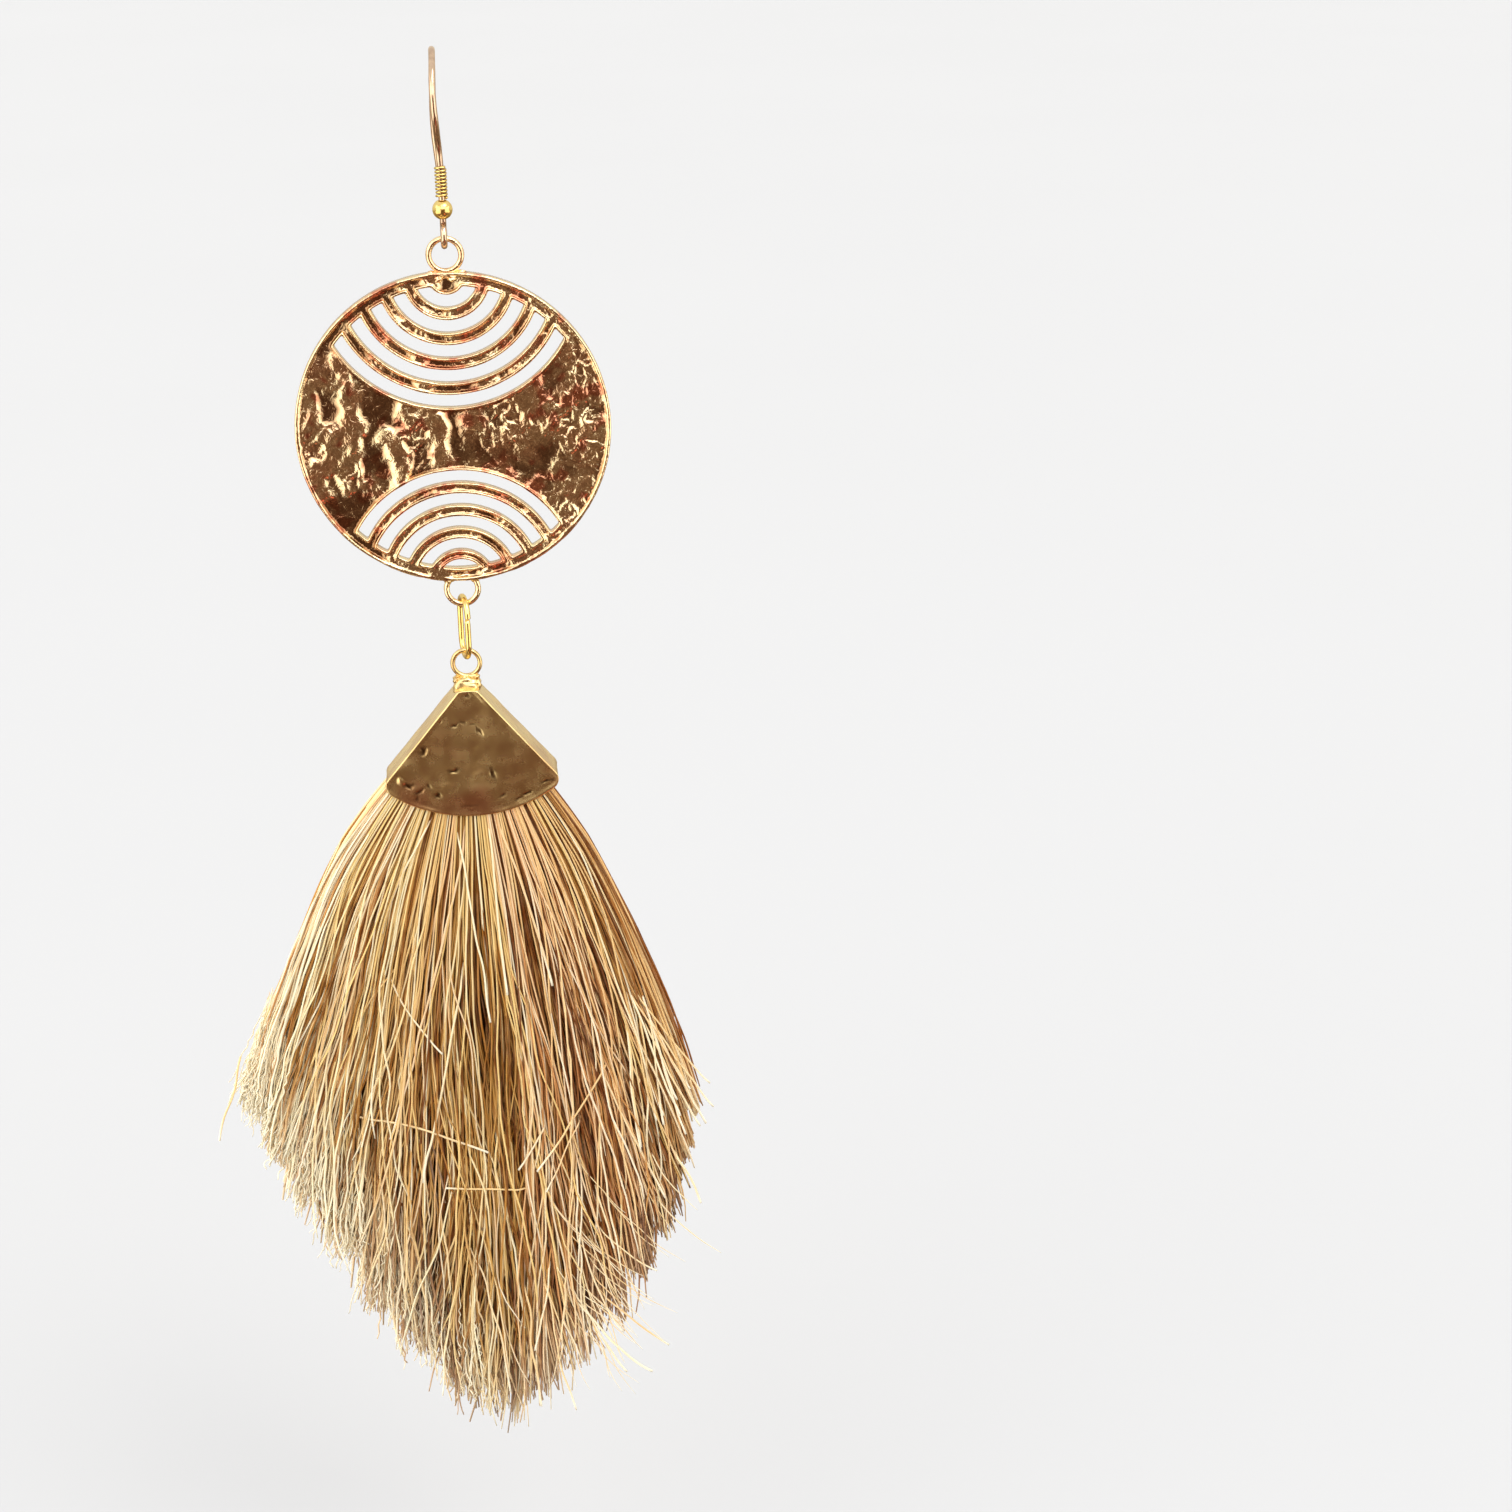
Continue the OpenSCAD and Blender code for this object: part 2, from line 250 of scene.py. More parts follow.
def tubes(paths, radii, sides, turn, normal=(0, 1, 0)):
    """Points and faces of closed tubes. paths is (tubes, places, 3), radii is (tubes, places), turn is (tubes).

    normal stands square to the paths, or nearly so.
    """
    count, places = paths.shape[:2]
    along = np.gradient(paths, axis=1)
    along /= np.linalg.norm(along, axis=2, keepdims=True) + 1e-12
    across = np.cross(along, np.asarray(normal, float))
    across /= np.linalg.norm(across, axis=2, keepdims=True) + 1e-12
    deep = np.cross(along, across)
    angle = TAU * np.arange(sides) / sides + turn[:, None]
    ring = (
        np.cos(angle)[:, None, :, None] * across[:, :, None, :]
        + np.sin(angle)[:, None, :, None] * deep[:, :, None, :]
    )
    points = paths[:, :, None, :] + radii[:, :, None, None] * ring
    return points.reshape(-1, 3), list(tube_faces(count, places, sides))


def grid_faces(rows, columns, closed_rows=False):
    """Quads over a grid of points whose rows are closed rings. closed_rows also joins the last row to the first."""
    i = np.arange(rows if closed_rows else rows - 1)[:, None]
    j = np.arange(columns)
    after, beside = (i + 1) % rows, (j + 1) % columns
    quads = [i * columns + j, after * columns + j, after * columns + beside, i * columns + beside]
    return np.stack(np.broadcast_arrays(*quads), axis=2).reshape(-1, 4)


def tube_faces(count, places, sides):
    """Side and end faces of closed tubes whose rings follow each other."""
    j = np.arange(sides)
    end = np.stack([j[::-1], (places - 1) * sides + j])
    first = np.arange(count)[:, None, None] * places * sides
    quads = grid_faces(places, sides)[:, ::-1]
    return (quads[None] + first).reshape(-1, 4), (end[None] + first).reshape(-1, sides)


def wire(name, path, radius, sides, turn):
    """A round wire along a path in the upright plane that a turn about the drop line gives."""
    square = (math.cos(turn), math.sin(turn), 0)
    return solid(name, *tubes(path[None], radius[None], sides, np.zeros(1), square))


def run_along(path):
    """Distance from the start of a path to each of its points."""
    return np.concatenate([[0], np.cumsum(np.linalg.norm(np.diff(path, axis=0), axis=1))])


def arc(centre, radius, start, sweep, count):
    """Points on an arc of a drawing plane, ends included."""
    angle = start + sweep * np.linspace(0, 1, count)
    return np.stack([centre[0] + radius * np.cos(angle), centre[1] + radius * np.sin(angle)], axis=1)


def upright(across, start, end, count):
    """Points on an upright line of a drawing plane, ends included."""
    return np.stack([np.full(count, across), np.linspace(start, end, count)], axis=1)


def joined(*stretches):
    """One path from stretches that follow each other, without doubled points."""
    path = [np.asarray(stretches[0], float)]
    for stretch in stretches[1:]:
        stretch = np.asarray(stretch, float)
        path.append(stretch[1:] if np.linalg.norm(stretch[0] - path[-1][-1]) < 1e-3 else stretch)
    return np.concatenate(path)


def side_on(drawing, turn):
    """Puts a drawing of depth and height upright in the plane that a turn about the drop line gives."""
    drawing = np.asarray(drawing, float)
    return np.stack(
        [-math.sin(turn) * drawing[:, 0], math.cos(turn) * drawing[:, 0], drawing[:, 1]], axis=1
    )


# Noise that repeats from run to run

def scatter(i, j, seed):
    """A random number from 0 to 1 for each cell of a lattice."""
    n = (i.astype(np.int64) * 374761393 + j.astype(np.int64) * 668265263 + seed * 974634777) & 0xFFFFFFFF
    n = ((n ^ (n >> 13)) * 1274126177) & 0xFFFFFFFF
    n = ((n ^ (n >> 16)) * 2246822519) & 0xFFFFFFFF
    return (n ^ (n >> 15)) / 4294967296.0


def drift(x, z, size, seed):
    """Smooth noise from -1 to 1 with features of one size."""
    x, z = x / size, z / size
    i, j = np.floor(x), np.floor(z)
    u, v = x - i, z - j
    u, v = (t * t * t * (t * (6 * t - 15) + 10) for t in (u, v))
    near = scatter(i, j, seed) * (1 - u) + scatter(i + 1, j, seed) * u
    far = scatter(i, j + 1, seed) * (1 - u) + scatter(i + 1, j + 1, seed) * u
    return 2 * (near * (1 - v) + far * v) - 1


def turned_drift(x, z, size, seed, turn):
    """Smooth noise whose lattice is turned by an angle in degrees."""
    c, d = math.cos(math.radians(turn)), math.sin(math.radians(turn))
    return drift(c * x + d * z + 40, c * z - d * x + 40, size, seed)


def ridge(value, width):
    """A soft ridge along the line where a value is zero."""
    return unit(1 - np.abs(value) / width) ** 1.5


def crumpled(x, z):
    """Relief of the hammered field: large upright folds, most on the left, and small worm-like ridges."""
    warp_x = x + 0.5 * turned_drift(x, z, 1.7, 11, 25) + 0.16 * turned_drift(x, z, 0.7, 12, 60)
    warp_z = z + 0.5 * turned_drift(x, z, 1.9, 13, 70) + 0.16 * turned_drift(x, z, 0.8, 14, 35)
    folds = 0.31 * turned_drift(warp_x, 0.55 * warp_z, 2.0, 18, 12) * np.clip(0.85 - 0.025 * x, 0.4, 1.2)
    folds += 0.12 * turned_drift(warp_x, 0.8 * warp_z, 1.2, 19, -35)
    worms = 0.15 * ridge(turned_drift(warp_x, 0.8 * warp_z, 1.5, 21, 40), 0.42)
    worms += 0.11 * ridge(turned_drift(warp_x, warp_z, 1.1, 22, -20), 0.45)
    worms += 0.07 * ridge(turned_drift(warp_x, warp_z, 0.7, 31, 10), 0.5)
    rough = np.clip(0.6 + 0.022 * x + 0.9 * turned_drift(x, z, 3.2, 17, 15), 0.15, 1)
    relief = folds + rough * worms + 0.02 * turned_drift(x, z, 0.45, 32, 50)
    relief = relief - np.mean(relief)
    return 0.25 * np.tanh(relief / 0.30) - 0.05


# Materials

def put(tree, value, socket):
    """Links an output to a socket, or sets the socket to a number, a vector or a colour."""
    if isinstance(value, bpy.types.NodeSocket):
        tree.links.new(value, socket)
    else:
        socket.default_value = (*value, 1) if socket.type == "RGBA" else value


def feed(tree, node, values):
    """Gives sockets of a node, by name or number, their values."""
    for key, value in values.items():
        put(tree, value, node.inputs[key])


def add(tree, kind, **settings):
    """A shader node. A setting in lower case is the node's own; any other names one of its sockets."""
    node = tree.nodes.new(kind)
    for name, value in settings.items():
        if name[0].islower():
            setattr(node, name, value)
        else:
            put(tree, value, node.inputs[name.replace("_", " ")])
    return node


def new_material(name, **settings):
    """A material, its node tree and its one principled shader, whose sockets the settings name."""
    material = bpy.data.materials.new(name)
    material.use_nodes = True
    tree = material.node_tree
    tree.nodes.clear()
    shader = add(tree, "ShaderNodeBsdfPrincipled", **settings)
    add(tree, "ShaderNodeOutputMaterial", Surface=shader.outputs["BSDF"])
    return material, tree, shader


def own_value(tree, name):
    """The number that each vertex of a piece carries under a name."""
    return add(tree, "ShaderNodeAttribute", attribute_name=name).outputs["Fac"]


def ramp(tree, factor, stops):
    """A colour ramp fed by a factor. stops is a list of (place, colour)."""
    node = add(tree, "ShaderNodeValToRGB", Fac=factor)
    node.color_ramp.interpolation = "EASE"
    elements = node.color_ramp.elements
    while len(elements) < len(stops):
        elements.new(0.5)
    for element, (place, colour) in zip(elements, stops):
        element.position = place
        element.color = (*colour, 1)
    return node.outputs["Color"]


def noise(tree, size, detail, roughness=0.55, distortion=0.0, stretch=(1, 1, 1)):
    """Noise with features of a size in millimetres, on the object's own coordinates."""
    place = add(tree, "ShaderNodeTexCoord").outputs["Object"]
    scale = [1 / (size * MM * s) for s in stretch]
    mapped = add(tree, "ShaderNodeMapping", Vector=place, Scale=scale).outputs["Vector"]
    kind = {"Scale": 1.0, "Detail": detail, "Roughness": roughness, "Distortion": distortion}
    return add(tree, "ShaderNodeTexNoise", Vector=mapped, **kind).outputs["Fac"]


def span(tree, value, low, high, to_low, to_high):
    """A value carried over from one range to another and held there."""
    ends = {"From_Min": low, "From_Max": high, "To_Min": to_low, "To_Max": to_high}
    return add(tree, "ShaderNodeMapRange", Value=value, **ends).outputs["Result"]


def mixed(tree, factor, first, second, blend="MIX"):
    node = add(tree, "ShaderNodeMix", data_type="RGBA", blend_type=blend)
    feed(tree, node, {0: factor, 6: first, 7: second})
    return node.outputs[2]


def bump(tree, height, distance, shader):
    node = add(tree, "ShaderNodeBump", Strength=1.0, Distance=distance * MM, Height=height)
    feed(tree, shader, {"Normal": node.outputs["Normal"]})
    return node


# Colour of the red patches: painted pink-red reflections on the disc, a red-brown tint on the cap
RED_GLINT_AND_TINT = (0.72, 0.25, 0.15)


def metal(name, bright, worn, recess, shine, grain, grain_depth, patches, wrinkle=0.0):
    """Plated metal: a bright colour with worn patches, painted shade in its recesses, uneven shine and a fine
    surface grain.

    Painted shade lies where the surface bends inwards; the piece's own value named recess darkens it further, as
    painted shade in the coil's gaps and the disc's valleys and as dark marks in the cap's dents. A second value of
    the piece gives red patches: painted pink-red reflections on the disc, a red-brown tint on the cap.
    """
    material, tree, shader = new_material(name, Metallic=1.0)
    cloud = noise(tree, patches, detail=5, roughness=0.6, distortion=0.4)
    plating = ramp(tree, cloud, [(0.35, worn), (0.6, bright)])
    edges = add(tree, "ShaderNodeNewGeometry").outputs["Pointiness"]
    # Painted shade: darker where the surface bends inwards
    hollow = span(tree, edges, 0.44, 0.5, 1.0, 0.0)
    # Red patches from a value of the piece: painted pink-red reflections on the disc, a red-brown tint on the cap
    reddened = mixed(tree, own_value(tree, "red_glint_and_tint"), mixed(tree, hollow, plating, recess), RED_GLINT_AND_TINT)
    # Darker still where the piece's recess value says so: painted shade in the coil's gaps and the disc's valleys,
    # dark marks in the cap's dents
    colour = mixed(tree, own_value(tree, "recess"), reddened, [0.4 * part for part in recess])
    smear = span(tree, noise(tree, patches * 0.4, detail=4), 0.3, 0.7, *shine)
    feed(tree, shader, {"Base Color": colour, "Roughness": smear})
    fine = bump(tree, noise(tree, grain, detail=4, roughness=0.6), grain_depth, shader)
    if wrinkle:
        bump(tree, noise(tree, 0.55, detail=2, roughness=0.5, distortion=1.2), wrinkle, fine)
    return material


# Colours of the threads by tone; the darkest tones carry the painted shade between and under the threads
GOLDEN_TONES = [
    (0.00, (0.16, 0.042, 0.004)),
    (0.25, (0.38, 0.145, 0.022)),
    (0.50, (0.64, 0.34, 0.085)),
    (0.75, (0.90, 0.62, 0.24)),
    (1.00, (1.00, 0.88, 0.58)),
]
ROSY_TONES = [
    (0.00, (0.17, 0.040, 0.008)),
    (0.25, (0.40, 0.14, 0.036)),
    (0.50, (0.68, 0.31, 0.11)),
    (0.75, (0.92, 0.57, 0.28)),
    (1.00, (1.00, 0.86, 0.62)),
]


FLECK = (0.95, 0.76, 0.45)
PALE_TIP = (1.0, 0.91, 0.70)
FLOOR_TONES = [(0.3, (0.522, 0.522, 0.524)), (0.7, (0.526, 0.526, 0.528))]


def thread_material():
    """Silky thread: a tone for each strand from deep amber to cream, a rosy or golden cast and pale tips."""
    material, tree, shader = new_material(
        "silky_thread",
        Roughness=0.45,
        Specular_IOR_Level=0.15,
        Specular_Tint=(1.0, 0.80, 0.52),
        Sheen_Weight=0.03,
        Sheen_Tint=(1.0, 0.82, 0.58),
    )
    tone = own_value(tree, "tone")
    strand = mixed(tree, own_value(tree, "cast"), ramp(tree, tone, GOLDEN_TONES), ramp(tree, tone, ROSY_TONES))
    slub = noise(tree, 0.8, detail=4, roughness=0.7, stretch=(1, 1, 3))
    flecks = mixed(tree, span(tree, slub, 0.4, 0.7, 0.0, 0.12), strand, FLECK)
    feed(tree, shader, {"Base Color": mixed(tree, own_value(tree, "pale"), flecks, PALE_TIP)})
    bump(tree, noise(tree, 0.22, detail=3, stretch=(1, 1, 2)), 0.03, shader)
    return material


def floor_material():
    material, tree, shader = new_material("pale_floor", Roughness=0.8, Specular_IOR_Level=0.1)
    feed(tree, shader, {"Base Color": ramp(tree, noise(tree, 300, detail=2), FLOOR_TONES)})
    return material


HOOK_METAL = metal(
    "wire_plating", (0.80, 0.60, 0.44), (0.60, 0.42, 0.31), (0.45, 0.26, 0.16), (0.10, 0.2), 0.3, 0.006, 2.5
)
YELLOW_METAL = metal(
    "yellow_plating", (1.0, 0.78, 0.30), (0.93, 0.66, 0.22), (0.6, 0.34, 0.08), (0.1, 0.22), 0.25, 0.006, 1.2
)
DISC_METAL = metal(
    "rose_plating", (1.0, 0.82, 0.52), (0.96, 0.66, 0.42), (0.50, 0.23, 0.10), (0.07, 0.17), 0.2, 0.005, 3.0, 0.05
)
CAP_METAL = metal(
    "antique_plating", (0.92, 0.72, 0.36), (0.78, 0.54, 0.26), (0.30, 0.15, 0.06), (0.2, 0.32), 0.35, 0.006, 5.0
)
THREAD = thread_material()


# Hook, coil and bead

def hook_path():
    """The hook's centre line in its own plane, as depth behind the drop line and height."""
    step = BOW_R - BOW_BACK
    leg_turn = 2 * math.atan(step / FRONT_LEG_H)
    leg_r = FRONT_LEG_H / (2 * math.sin(leg_turn))
    eye_turn = math.acos(EYE_BEND_R / (EYE_R + EYE_BEND_R))
    stem_foot = EYE_Z + (EYE_R + EYE_BEND_R) * math.sin(eye_turn)
    tail = BOW_BACK + BOW_R
    return joined(
        upright(tail, BOW_Z - TAIL_L, BOW_Z, 20),
        arc((BOW_BACK, BOW_Z), BOW_R, 0, math.pi, 60),
        arc((leg_r - step, BOW_Z), leg_r, math.pi, leg_turn, 18),
        arc((-leg_r, COIL_TOP), leg_r, leg_turn, -leg_turn, 18),
        upright(0, COIL_TOP, stem_foot, 16),
        arc((EYE_BEND_R, stem_foot), EYE_BEND_R, math.pi, eye_turn, 14),
        arc((0, EYE_Z), EYE_R, eye_turn, -(1.5 * math.pi + eye_turn - EYE_OPEN), 48),
    )


# Height on the hook, seen from the camera's height, and how far the wire is bent to the left there
WIRE_BEND = [
    (-9.6, 0),
    (-8, 0.08),
    (-6.5, 0.22),
    (-5, 0.35),
    (-3.5, 0.4),
    (-2, 0.37),
    (-0.5, 0.3),
    (1, 0.24),
    (3, 0.2),
]


def hook():
    path = side_on(hook_path(), HOOK_TURN)
    seen_height = path[:, 2] + path[:, 1] * math.tan(CAMERA_ELEVATION)
    path[:, 0] -= looked_up(WIRE_BEND, seen_height)
    length = run_along(path)
    radius = WIRE_D / 2 * (1 + 0.02 * drift(length, length * 0, 1.3, 5))
    ends = np.minimum(length, length[-1] - length)
    radius *= np.sqrt(np.clip(1 - (1 - unit(ends / 0.3)) ** 2, 0.03, 1))
    return give(wire("hook_wire", path, radius, 20, HOOK_TURN), HOOK_METAL, "hook", "wire", "ear_wire")


def coil():
    """The fine wire wound round the stem."""
    low, high = foot_of("wire_coil"), top_of("wire_coil")
    share = np.linspace(0, 1, COIL_TURNS * 28 + 1)
    angle = TAU * COIL_TURNS * share - 0.6
    reach = THREAD_R + COIL_WIRE_D / 2 + 0.012 * np.sin(3.1 * angle / TAU)
    height = low + COIL_WIRE_D / 2 + (high - low - COIL_WIRE_D) * share
    path = np.stack([reach * np.cos(angle), reach * np.sin(angle), height], axis=1)
    sides = 10
    thick = np.full((1, len(path)), COIL_WIRE_D / 2 * 0.99)
    piece = solid("coil_winding", *tubes(path[None], thick, sides, np.zeros(1), (0, 0, 1)))
    turn = TAU * np.arange(sides) / sides
    # Painted shade: darker on the wire's upper and lower sides, in the gaps where the turns meet
    values_on(piece, "recess", np.tile(np.clip(1.6 * np.abs(np.sin(turn)) - 0.7, 0, 0.9), len(path)))
    return give(piece, YELLOW_METAL, "hook", "coil", "wire_coil")


def bead():
    """A hollow bead: a ball drilled through, with its seam just raised and soft edges at the holes."""
    radius = (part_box("bead")[1].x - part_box("bead")[0].x) / 2 / MM
    start = math.asin((THREAD_R + 0.05) / radius)
    lean = np.linspace(start, math.pi - start, 40)
    seam = 1 + 0.006 * np.exp(-(((lean - math.pi / 2) / 0.05) ** 2))
    outer = np.stack([radius / 1.006 * seam * np.sin(lean), radius / 1.006 * np.cos(lean)], axis=1)
    edge = outer[-1][1]
    inner = [(THREAD_R, edge + 0.02), (THREAD_R, 0), (THREAD_R, -edge - 0.02)]
    profile = np.concatenate([outer, inner])
    sides = 56
    angle = TAU * np.arange(sides) / sides
    points = np.stack(
        [
            np.outer(profile[:, 0], np.cos(angle)),
            np.outer(profile[:, 0], np.sin(angle)),
            BEAD_Z + np.outer(profile[:, 1], np.ones(sides)),
        ],
        axis=2,
    )
    faces = grid_faces(len(profile), sides, closed_rows=True)
    piece = solid("drilled_bead", points.reshape(-1, 3), [faces])
    return give(piece, YELLOW_METAL, "hook", "bead", "bead")


def jump_ring():
    """The oval ring, cut through in its front wire and closed with its ends a hair out of line."""
    half, leg = LINK_W / 2, (LINK_H - LINK_W) / 2
    path = joined(
        upright(-half, LINK_SLIT_RISE - LINK_SLIT / 2, -leg, 8),
        arc((0, -leg), half, math.pi, math.pi, 40),
        upright(half, -leg, leg, 14),
        arc((0, leg), half, 0, math.pi, 40),
        upright(-half, leg, LINK_SLIT_RISE + LINK_SLIT / 2, 4),
    )
    path = side_on(path, LINK_TURN) + (0, 0, LINK_Z)
    path[:, 0] += 0.03 * np.linspace(-1, 1, len(path)) ** 5
    length = run_along(path)
    ends = np.minimum(length, length[-1] - length)
    radius = LINK_WIRE_D / 2 * np.where(ends < 0.02, 0.86, 1)
    return give(wire("oval_jump_ring", path, radius, 22, LINK_TURN), YELLOW_METAL, "link", "link", "jump_ring")


# Disc: outlines, field and walls in a drawing plane whose centre is the disc's own

def resampled(outline, step):
    """A closed outline with points a step apart."""
    closed = np.concatenate([outline, outline[:1]])
    length = run_along(closed)
    count = max(12, int(round(length[-1] / step)))
    at = np.linspace(0, length[-1], count, endpoint=False)
    return np.stack([np.interp(at, length, closed[:, 0]), np.interp(at, length, closed[:, 1])], axis=1)


def softened(outline, spread):
    """A closed outline with its corners rounded over about a spread."""
    step = 0.04
    fine = resampled(outline, step)
    reach = int(3 * spread / step)
    offsets = np.arange(-reach, reach + 1)
    weights = np.exp(-0.5 * (offsets * step / spread) ** 2)
    weights /= weights.sum()
    return sum(w * np.roll(fine, o, axis=0) for w, o in zip(weights, offsets))


def meeting(centre_z, radius, reach):
    """Where a circle on the disc's upright line crosses the circle of the slots' ends, on the right."""
    z = (reach * reach - radius * radius + centre_z * centre_z) / (2 * centre_z)
    return math.sqrt(max(reach * reach - z * z, 0)), z


def slot_outline(centre_z, inner, outer, grow):
    """Outline of one slot, grown by an amount. A slot with no inner radius is the lens at the foot."""
    side = 1 if centre_z > 0 else -1
    reach = SLOT_REACH + grow

    def from_centre(radius):
        x, z = meeting(centre_z, radius, reach)
        return math.atan2(x, side * (centre_z - z)), (x, z)

    def curve(radius, start, end):
        angle = np.linspace(start, end, 120)
        return np.stack([radius * np.sin(angle), centre_z - side * radius * np.cos(angle)], axis=1)

    def end_stretch(start, end):
        a, b = math.atan2(start[0], side * start[1]), math.atan2(end[0], side * end[1])
        angle = np.linspace(a, b, 40)
        return np.stack([reach * np.sin(angle), side * reach * np.cos(angle)], axis=1)

    outer_turn, outer_end = from_centre(outer + grow)
    if not inner:
        mirrored_end = (-outer_end[0], outer_end[1])
        stretches = [curve(outer + grow, -outer_turn, outer_turn), end_stretch(outer_end, mirrored_end)]
    else:
        inner_turn, inner_end = from_centre(inner - grow)
        stretches = [
            curve(outer + grow, -outer_turn, outer_turn),
            end_stretch(outer_end, inner_end),
            curve(inner - grow, inner_turn, -inner_turn),
            end_stretch((-inner_end[0], inner_end[1]), (-outer_end[0], outer_end[1])),
        ]
    return joined(*stretches)[:-1]


# Every slot as height of its arcs' centre, inner radius or 0, and outer radius
TOP_SLOTS_Z = DISC_R - TOP_INSET
FOOT_SLOTS_Z = -DISC_R - FOOT_OUTSET
SLOTS = [(TOP_SLOTS_Z, inner, outer) for inner, outer in TOP_SLOTS]
SLOTS += [(FOOT_SLOTS_Z, inner, outer) for inner, outer in FOOT_SLOTS]
SLOTS += [(FOOT_SLOTS_Z, 0, LENS_R)]


def slot_distance(x, z):
    """Distance from the nearest slot, negative inside one."""
    from_middle = np.hypot(x, z)
    nearest = np.full(np.shape(x), 1e9)
    for centre_z, inner, outer in SLOTS:
        r = np.hypot(x, z - centre_z)
        away = np.maximum(np.maximum(inner - r, r - outer), from_middle - SLOT_REACH)
        nearest = np.minimum(nearest, away)
    return nearest


def triangulated(loops, inner_points):
    """Triangles over a plate with closed loops as edges, and where each loop point ended up."""
    points = np.concatenate([*loops, inner_points])
    edges, start = [], 0
    for loop in loops:
        here = np.arange(start, start + len(loop))
        edges += list(zip(here.tolist(), np.roll(here, -1).tolist()))
        start += len(loop)
    made = delaunay_2d_cdt([Vector(p) for p in points], edges, [], 0, 1e-6, True)
    flat = np.array([tuple(p) for p in made[0]])
    triangles = np.array(made[2], np.int32)
    place = np.full(len(points), -1)
    for new, olds in enumerate(made[3]):
        for old in olds:
            place[old] = new
    middle = flat[triangles].mean(axis=1)
    kept = (slot_mask(middle, loops)) & (np.hypot(middle[:, 0], middle[:, 1]) < DISC_R)
    return flat, triangles[kept], place


def slot_mask(points, loops):
    """True for points that lie in no slot. The loops after the first bound the slots."""
    keep = np.ones(len(points), bool)
    for loop in loops[1 : 1 + len(SLOTS)]:
        low, high = loop.min(0), loop.max(0)
        near = np.flatnonzero(np.all((points > low) & (points < high), axis=1))
        x, z = points[near, 0], points[near, 1]
        x0, z0 = loop[:, 0], loop[:, 1]
        x1, z1 = np.roll(x0, -1), np.roll(z0, -1)
        crossed = (z0 > z[:, None]) != (z1 > z[:, None])
        at = x0 + (z[:, None] - z0) / np.where(np.abs(z1 - z0) < 1e-12, 1e-12, z1 - z0) * (x1 - x0)
        inside = np.sum(crossed & (x[:, None] < at), axis=1) % 2 == 1
        keep[near[inside]] = False
    return keep


def field_grid(step, margin, seed):
    """A jittered honeycomb of points over the hammered field, clear of every border."""
    rows = np.arange(-DISC_R, DISC_R, step * 0.866)
    columns = np.arange(-DISC_R, DISC_R, step)
    x, z = np.meshgrid(columns, rows)
    x = x + (np.arange(len(rows)) % 2)[:, None] * step / 2
    i, j = np.round(x / step * 2), np.round(z / step * 2)
    x = x + step * 0.18 * (2 * scatter(i, j, seed) - 1)
    z = z + step * 0.18 * (2 * scatter(i, j, seed + 1) - 1)
    x, z = x.ravel(), z.ravel()
    keep = (slot_distance(x, z) > LIP_W + margin) & (np.hypot(x, z) < DISC_R - RIM_LIP_W - margin)
    return np.stack([x[keep], z[keep]], axis=1)


FIELD_STEP = 0.16
BACK_STEP = 0.3
BACK_EDGE = 0.12
BACK_SLOT_EDGE = 0.08
SLOT_CORNER = 0.14
# Across a raised edge: distance from its outer side as a share of its width, and its height as a share
LIP_PROFILE = [(0.0, 0.30), (0.10, 0.70), (0.30, 0.97), (0.52, 1.0), (0.74, 0.85), (0.90, 0.4), (1.02, 0.0)]


def plate_loops(inset, grow, step):
    """The disc's outline set in by a distance, and every slot's grown by an amount, with points a step apart."""
    circle = arc((0, 0), DISC_R - inset, 0, TAU, 601)[:-1]
    slots = [softened(slot_outline(*slot, grow), SLOT_CORNER) for slot in SLOTS]
    return [resampled(outline, step) for outline in (circle, *slots)]


